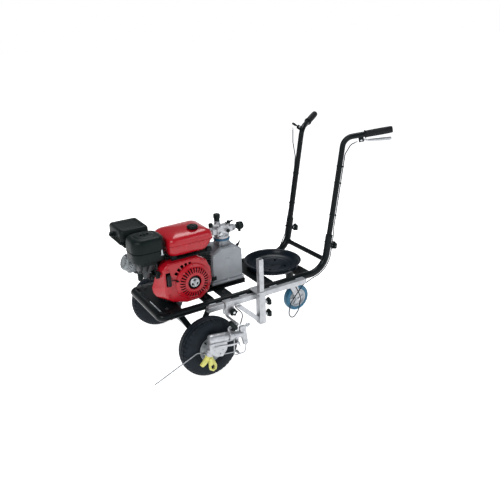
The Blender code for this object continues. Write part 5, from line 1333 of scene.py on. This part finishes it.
def build_muffler():
    y = CRANK_Y
    box = Shape()
    pillow(box, -0.172, -0.014, y - 0.256, y - 0.12, 0.018, [(0.584, 0.004), (0.586, 0.001),
        (0.608, 0.0006), (0.6092, 0.0024), (0.6108, 0.0024), (0.612, 0.0004), (0.632, 0.001),
        (0.637, 0.0032), (0.6402, 0.0066), (0.6416, 0.011), (0.6412, 0.016), (0.6386, 0.0185),
        (0.638, 0.023), (0.6378, 0.05)])
    pillow(box, -0.176, -0.01, y - 0.26, y - 0.116, 0.014, [(0.578, 0.0012), (0.579, 0.0),
        (0.5815, 0.0), (0.5822, 0.0016), (0.5832, 0.0016), (0.5839, 0.0), (0.5858, 0.0),
        (0.5866, 0.0012)])
    pillow(box, -0.155, -0.03, y - 0.236, y - 0.14, 0.02, [(0.545, 0.016), (0.546, 0.009),
        (0.55, 0.0035), (0.556, 0.001), (0.579, 0.0)])
    box.lathe((-0.09, y - 0.17, 0.478), Z, [(0, 0.02), (0.004, 0.02), (0.0045, 0.0142),
        (0.07, 0.0142)], 32)
    box.lathe((-0.1, y - 0.25, 0.608), -Y, [(-0.004, 0.013), (0.002, 0.013), (0.0022, 0.0112),
        (0.024, 0.0112), (0.024, 0.0094), (0.006, 0.0094)], 32)
    for k in range(9):
        px = -0.15 + 0.014 * k
        box.box((px, y - 0.2585, 0.5905), (px + 0.004, y - 0.2545, 0.6045), 0.0012, 1)
        py = y - 0.24 + 0.0125 * k
        box.box((-0.015, py, 0.5905), (-0.0115, py + 0.004, 0.6045), 0.0012, 1)
        box.box((-0.1745, py, 0.5905), (-0.171, py + 0.004, 0.6045), 0.0012, 1)
    box.done("muffler_shell", "muffler_black", "chassis", "frame_black", ["muffler"], angle=40)
    # Dark rods in the guard's perforations and in the tail pipe's bore: painted shade inside them.
    hole_shade = Shape()
    for row in range(3):
        for k in range(11):
            px = -0.148 + 0.0112 * k + 0.0056 * (row % 2)
            hole_shade.rod((px, y - 0.23, 0.556 + 0.008 * row), (px, y - 0.2364, 0.556 + 0.008 * row),
                0.0026, 10)
        for k in range(8):
            py = y - 0.228 + 0.0112 * k + 0.0056 * (row % 2)
            hole_shade.rod((-0.034, py, 0.556 + 0.008 * row), (-0.0296, py, 0.556 + 0.008 * row), 0.0026,
                10)
    hole_shade.rod((-0.1, y - 0.256, 0.608), (-0.1, y - 0.268, 0.608), 0.0094, 24)
    hole_shade.done("muffler_hole_shade", "hole_shade_and_rope_black", "chassis", "engine_cast")
    fix = Shape()
    for px in (-0.16, -0.026):
        for py in (y - 0.246, y - 0.13):
            fix.bolt((px, py, 0.5864), Z, 0.003)
    fix.bolt((-0.075, y - 0.188, 0.482), Z, 0.0045)
    fix.bolt((-0.105, y - 0.152, 0.482), Z, 0.0045)
    fix.done("muffler_bolts", "steel", "chassis")


# ---------------------------------------------------------------- pump
def build_pump():
    x, y = PUMP_X, PUMP_Y
    keep("pump_housing", "pump_grey", 0.0016, 3)
    front = x + 0.054
    plate = [(0.156, 0.325), (0.312, 0.325), (0.312, 0.453), (0.2775, 0.478), (0.2005, 0.478),
        (0.156, 0.453)]
    cover = Shape()
    cover.prism(round_outline(plate, 0.008, 5), "x", front - 0.001, front + 0.0022, 0.001)
    cover.prism(round_outline(plate, 0.008, 5), "x", x - 0.056, x - 0.053, 0.001)
    cover.box((x - 0.06, 0.144, BASE_Z + 0.014), (x + 0.06, 0.3205, BASE_Z + 0.029), 0.003)
    cover.done("pump_plate", "pump_grey", "chassis")
    skirt = Shape()
    skirt.box((x - 0.064, 0.115, BASE_Z + 0.001), (x + 0.064, 0.324, BASE_Z + 0.0135), 0.0025)
    skirt.done("pump_foot", "engine_cast", "chassis")
    trim = Shape()
    for py in (0.152, 0.235, 0.313):
        for f in (-1, 1):
            trim.bolt((x + f * 0.057, py, BASE_Z + 0.0286), Z, 0.0042)
    for py, pz in ((0.231, 0.4275), (0.246, 0.425)):
        trim.screw((front + 0.002, py, pz), X, 0.0034)
    for py, pz in ((0.163, 0.332), (0.305, 0.332), (0.305, 0.448), (0.163, 0.448), (0.204, 0.471),
            (0.274, 0.471)):
        trim.screw((front + 0.002, py, pz), X, 0.0026)
        trim.screw((x - 0.0558, py, pz), -X, 0.0026)
    for dx, dy in on_circle(4, 0.04, pi / 4):
        trim.bolt((x + dx, y + dy, 0.4836), Z, 0.004)
    trim.done("pump_screws", "zinc", "chassis", "steel")
    neck = Shape()
    neck.lathe((x, y, 0.4825), Z, [(0, 0.0345), (0.003, 0.034), (0.004, 0.0322), (0.0205, 0.0322),
        (0.0215, 0.035), (0.0255, 0.035)], 48)
    for dx, dy in on_circle(4, 0.0335, pi / 4):
        neck.rod((x + dx, y + dy, 0.483), (x + dx, y + dy, 0.505), 0.006, 16)
    neck.prism([(y + 0.028, 0.483), (y + 0.042, 0.483), (y + 0.03, 0.499)], "x", x - 0.012,
        x + 0.03, 0.002)
    neck.done("pump_neck", "pump_grey", "chassis")

    dark = Shape()
    dark.box((x + 0.0535, 0.147, 0.33), (x + 0.06, 0.17, 0.35), 0.002)
    dark.rod((x + 0.04, 0.15, 0.352), (x + 0.04, 0.141, 0.352), 0.01, 24)
    slope = Vector((0, 0.028, 0.038)).normalized()
    at = Vector((x + 0.036, y + 0.06, 0.4695))
    dark.lathe(at, slope + X * 0.25, [(0, 0.0066), (0.01, 0.007), (0.011, 0.0052), (0.018, 0.0048)],
        20)
    dark.plate(at + slope * 0.02 + X * 0.004, (slope + Z).normalized(), X, Y, (0.02, 0.006, 0.006),
        0.0016)
    dark.done("pump_valve", "black_plastic", "chassis")

    ring = Shape()
    ring.lathe((x, y, 0.5083), Z, [(0, 0.0225), (0, 0.0385), (0.001, 0.04), (0.004, 0.0402),
        (0.0044, 0.0392), (0.0052, 0.0392), (0.0056, 0.0402), (0.0086, 0.04), (0.0097, 0.0385),
        (0.0097, 0.0225)], 96, True)
    ring.done("pump_ring_band", "blue_ring", "chassis", None, ["pump_ring"])

    z = 0.554
    head = Shape()
    head.lathe((x, y, 0.5183), Z, [(0, 0.035), (0.001, 0.0362), (0.0105, 0.0362), (0.012, 0.035),
        (0.014, 0.03), (0.02, 0.028)], 56)
    head.box((x - 0.024, y - 0.033, 0.53), (x + 0.024, y + 0.034, 0.576), 0.0045, 3)
    head.box((x - 0.0185, y - 0.056, 0.5385), (x + 0.0185, y + 0.056, 0.569), 0.005, 3)
    head.rod((x, y - 0.07, z), (x, y + 0.072, z), 0.0148, 40, 0.0015)
    head.lathe((x, y - 0.07, z), Y, [(0, 0.015), (0.0012, 0.0172), (0.009, 0.0172),
        (0.0102, 0.0158)], 6)
    head.lathe((x, y + 0.057, z), Y, [(0, 0.0158), (0.0012, 0.0172), (0.01, 0.0172),
        (0.0112, 0.0158)], 6)
    head.rod((x, y - 0.02, 0.57), (x, y - 0.02, 0.604), 0.013, 36, 0.0012)
    head.lathe((x, y - 0.02, 0.578), Z, [(0, 0.015), (0.0012, 0.0172), (0.01, 0.0172),
        (0.0112, 0.0158)], 6)
    head.rod((x, y - 0.054, 0.564), (x, y - 0.054, 0.58), 0.0085, 28)
    head.lathe((x, y - 0.054, 0.57), Z, [(0, 0.0102), (0.0062, 0.0102), (0.007, 0.009)], 6)
    lean = Vector((0, 0.2, 1)).normalized()
    at = Vector((x, y + 0.038, 0.564))
    head.lathe(at, lean, [(0, 0.0066), (0.006, 0.0066), (0.0062, 0.01), (0.013, 0.01),
        (0.014, 0.0085)], 6)
    head.rod((x + 0.02, y + 0.018, 0.556), (x + 0.033, y + 0.018, 0.556), 0.008, 28)
    head.lathe((x + 0.028, y + 0.018, 0.556), X, [(0, 0.01), (0.006, 0.01), (0.0068, 0.0088)], 6)
    head.rod((x + 0.02, y - 0.018, 0.544), (x + 0.03, y - 0.018, 0.544), 0.007, 28)
    head.done("manifold", "silver_metal", "chassis", None, ["pump_head"])
    nuts = Shape()
    for dx, dy in on_circle(6, 0.0315, pi / 6):
        nuts.screw((x + dx, y + dy, 0.53), Z, 0.0034)
    for py in (-0.024, 0.026):
        nuts.screw((x + 0.0236, y + py, 0.568), X, 0.0028)
    nuts.lathe((x + 0.03, y - 0.018, 0.544), X, [(0, 0.0088), (0.005, 0.0088), (0.006, 0.007)], 6)
    for k in range(9):
        nuts.lathe((x, y - 0.02, 0.5905 + 0.0014 * k), Z, [(0, 0.0131), (0.0006, 0.0139),
            (0.0012, 0.0131)], 32)
    nuts.done("manifold_nuts", "zinc", "chassis", "silver_metal")
    caps = Shape()
    caps.lathe((x, y - 0.02, 0.603), Z, [(0, 0.0128), (0.0006, 0.0136), (0.013, 0.0136),
        (0.014, 0.016), (0.0155, 0.0166), (0.03, 0.0164), (0.033, 0.015), (0.0346, 0.011),
        (0.034, 0.006)], 60, wave=flutes(0.06, 4, 6, 10))
    caps.lathe((x, y - 0.054, 0.5775), Z, [(0, 0.0088), (0.0008, 0.0108), (0.015, 0.0108),
        (0.018, 0.009), (0.0185, 0.005)], 28)
    caps.lathe(at + lean * 0.0145, lean, [(0, 0.007), (0.002, 0.0098), (0.011, 0.0092),
        (0.013, 0.007)], 24)
    caps.plate(at + lean * 0.0215 + Y * 0.011, (Y + Z * 0.35).normalized(), X,
        (Z - Y * 0.35).normalized(), (0.026, 0.008, 0.006), 0.0018)
    caps.plate(at + lean * 0.018 - Y * 0.013, (Y - Z * 0.5).normalized(), X,
        (Z + Y * 0.5).normalized(), (0.014, 0.007, 0.006), 0.0018)
    caps.lathe((x + 0.0345, y + 0.018, 0.556), X, [(0, 0.0088), (0.006, 0.0086), (0.0072, 0.0066)],
        24)
    caps.done("manifold_caps", "black_plastic", "chassis")

    c = Vector((x, y + 0.0724, z))
    dial = Shape()
    dial.lathe(c, Y, [(0, 0.0096), (0.0006, 0.0102), (0.0155, 0.0102), (0.016, 0.016),
        (0.0175, 0.0196), (0.02, 0.0205), (0.039, 0.0198), (0.043, 0.0176), (0.0448, 0.014),
        (0.044, 0.012), (0.044, 0.003)], 72, wave=flutes(0.13, 4, 7, 7))
    dial.plate(c + Y * 0.024 + (X * 0.3 - Z).normalized() * 0.0225, Y, X, Z, (0.013, 0.009, 0.013),
        0.0026)
    dial.done("dial_knob", "black_plastic", "pressure_dial", None, ["pressure_knob"], angle=50)
    keep("pump_shaft", "steel", 0.0006)


# ---------------------------------------------------------------- belt drive
def build_drive():
    keep("drive_belt", "tyre_rubber", 0.0006)
    keep("crankshaft", "steel", 0.0006)
    keep("drive_cover", "frame_black", 0.0012)
    trim = Shape()
    # The dark rods and rounded slots on the belt cover are painted shade inside its vents.
    hole_shade = Shape()
    y0, y1, z = CRANK_Y, 0.215, CRANK_Z
    for yy, r in ((y0, 0.03), (y1, 0.038)):
        for dy, dz in on_circle(8, r * 0.72):
            spot = Vector((-0.1612, yy + dy, z + dz))
            hole_shade.rod(spot + X * 0.0008, spot - X * 0.0014, 0.005, 16)
        trim.lathe((-0.1615, yy, z), -X, [(0, 0.013), (0.0012, 0.0122), (0.002, 0.01)], 32)
    for k in range(6):
        yy = y0 + 0.052 + 0.0205 * k
        hole_shade.prism(rounded(yy, yy + 0.011, z - 0.024, z + 0.024, 0.005), "x", -0.1626, -0.1604)
    for yy, zz in ((y0 - 0.03, z + 0.03), (y0 - 0.03, z - 0.03), (y1 + 0.038, z + 0.036),
            (y1 + 0.038, z - 0.036)):
        trim.bolt((-0.1612, yy, zz), -X, 0.004)
    trim.done("cover_caps", "steel", "chassis")
    hole_shade.done("cover_hole_shade", "hole_shade_and_rope_black", "chassis", "engine_cast")
    arm = Shape()
    for yy, zz in ((0.055, 0.33), (0.15, 0.33)):
        arm.box((-0.12, yy - 0.01, BASE_Z + 0.001), (-0.115, yy + 0.01, zz + 0.03), 0.0012)
        arm.box((-0.15, yy - 0.01, BASE_Z + 0.0005), (-0.115, yy + 0.01, BASE_Z + 0.0045), 0.0012)
    arm.done("cover_brackets", "frame_black", "chassis")


# ---------------------------------------------------------------- control cables
def bend_points():
    """Points just outside the left main tube's bend, down its rear and under it."""
    bend = fillet([(RAIL_X, RAIL_FRONT, RAIL_Z), (RAIL_X, CORNER_Y, RAIL_Z),
        upright_point(SLEEVE_TOP_Z, 1)], 0.11, 7)[1:-1]
    points = []
    for a, b in zip(bend, bend[1:]):
        along = (b - a).normalized()
        out = Vector((0, along.z, -along.y))
        way = (out * 0.8 + X * 0.6).normalized()
        points.append((a + b) / 2 + way * (RAIL_R + 0.005))
    return points[::-1]


def beside(s, way, stops):
    """Points off an upright's centre line, each given by its height and its distance."""
    return [upright_point(z, s) + way * gap for z, gap in stops]


def build_cables():
    r = 0.0025
    g = Vector(GRIP_DIR)
    corner = upright_point(HANDLE_TOP_Z, 1)
    drop = (g * g.z - Z).normalized()
    side = (UP_BACK * 0.8 + X * 0.6).normalized()
    route = [corner + g * 0.062 + drop * 0.03, corner + g * 0.03 + drop * 0.036,
        *beside(1, side, ((0.86, HANDLE_R + 0.004), (0.5, HANDLE_R + 0.004),
        (0.45, RAIL_R + 0.004))), *bend_points(), (0.158, 0.61, 0.218), (0.15, 0.584, 0.18),
        (0.149, 0.54, 0.13), (0.149, 0.528, 0.066), (0.149, 0.556, 0.04), (0.15, 0.59, 0.08),
        (0.151, 0.602, 0.15), (0.149, 0.57, 0.222), (0.146, 0.51, 0.2465), (0.146, 0.27, 0.245),
        (0.166, 0.199, 0.229), (0.244, 0.199, 0.223), (0.3, 0.17, 0.24), (GUN_X, 0.128, 0.2375),
        (GUN_X, 0.128, 0.2275)]
    Shape().tube(fillet(route, 0.035, 8), r, 12).done("trigger_line", "tyre_rubber", "chassis",
        None, ["trigger_cable"])
    tip = Vector((-0.169, 0.785, 0.948))
    front = -UP_BACK
    lock = [tip - Z * 0.004, tip - Z * 0.08, *beside(-1, front, ((0.79, HANDLE_R + 0.0075),
        (0.74, HANDLE_R + 0.0035), (0.5, HANDLE_R + 0.0035), (0.44, RAIL_R + 0.0035),
        (0.37, RAIL_R + 0.0045))), (-0.16, 0.688, 0.306), (-0.14, 0.64, 0.3), (-0.1, 0.585, 0.262),
        (-0.06, 0.585, 0.215), (-0.0245, 0.632, 0.205)]
    Shape().tube(fillet(lock, 0.035, 8), r, 12).done("lock_line", "tyre_rubber", "chassis", None,
        ["swivel_lock_cable"])
    ends = Shape()
    for a, b in ((route[0], route[1]), (route[-1], route[-2]), (lock[0], lock[1]),
            (lock[-1], lock[-2])):
        a, b = Vector(a), Vector(b)
        way = (b - a).normalized()
        ends.lathe(a - way * 0.0004, way, [(0, 0.0031), (0.0006, 0.0036), (0.011, 0.0036),
            (0.0118, 0.003)], 16)
    ends.done("cable_ends", "zinc", "chassis", "steel")
    ties = Shape()
    for z, s, way, out in ((0.8, 1, side, HANDLE_R), (0.72, 1, side, HANDLE_R),
            (0.56, 1, side, HANDLE_R), (0.42, 1, side, RAIL_R), (0.7, -1, front, HANDLE_R),
            (0.54, -1, front, HANDLE_R), (0.41, -1, front, RAIL_R)):
        p = upright_point(z, s)
        across = UP_DIR.cross(way)
        rows = []
        for t in angles(40):
            n = way * cos(t) + across * sin(t)
            lobe = max(0.0, cos(t)) ** 6 * 0.0072
            c = p + n * (out + 0.0007 + lobe)
            rows.append([c - UP_DIR * 0.002, c + UP_DIR * 0.002, c + UP_DIR * 0.002 + n * 0.001,
                c - UP_DIR * 0.002 + n * 0.001])
        ties.rings(rows, True)
        ties.plate(p + across * (out + 0.002), UP_DIR, way, across, (0.0055, 0.005, 0.0034), 0.0008)
    ties.done("cable_ties", "black_plastic", "chassis")


for build in (build_frame, build_wheels, build_caster, build_handles, build_side_rail, build_gun,
        build_tray, build_crankcase, build_fan_cover, build_engine_top, build_carburettor,
        build_muffler, build_pump, build_drive, build_cables, add_camera, add_studio):
    build()
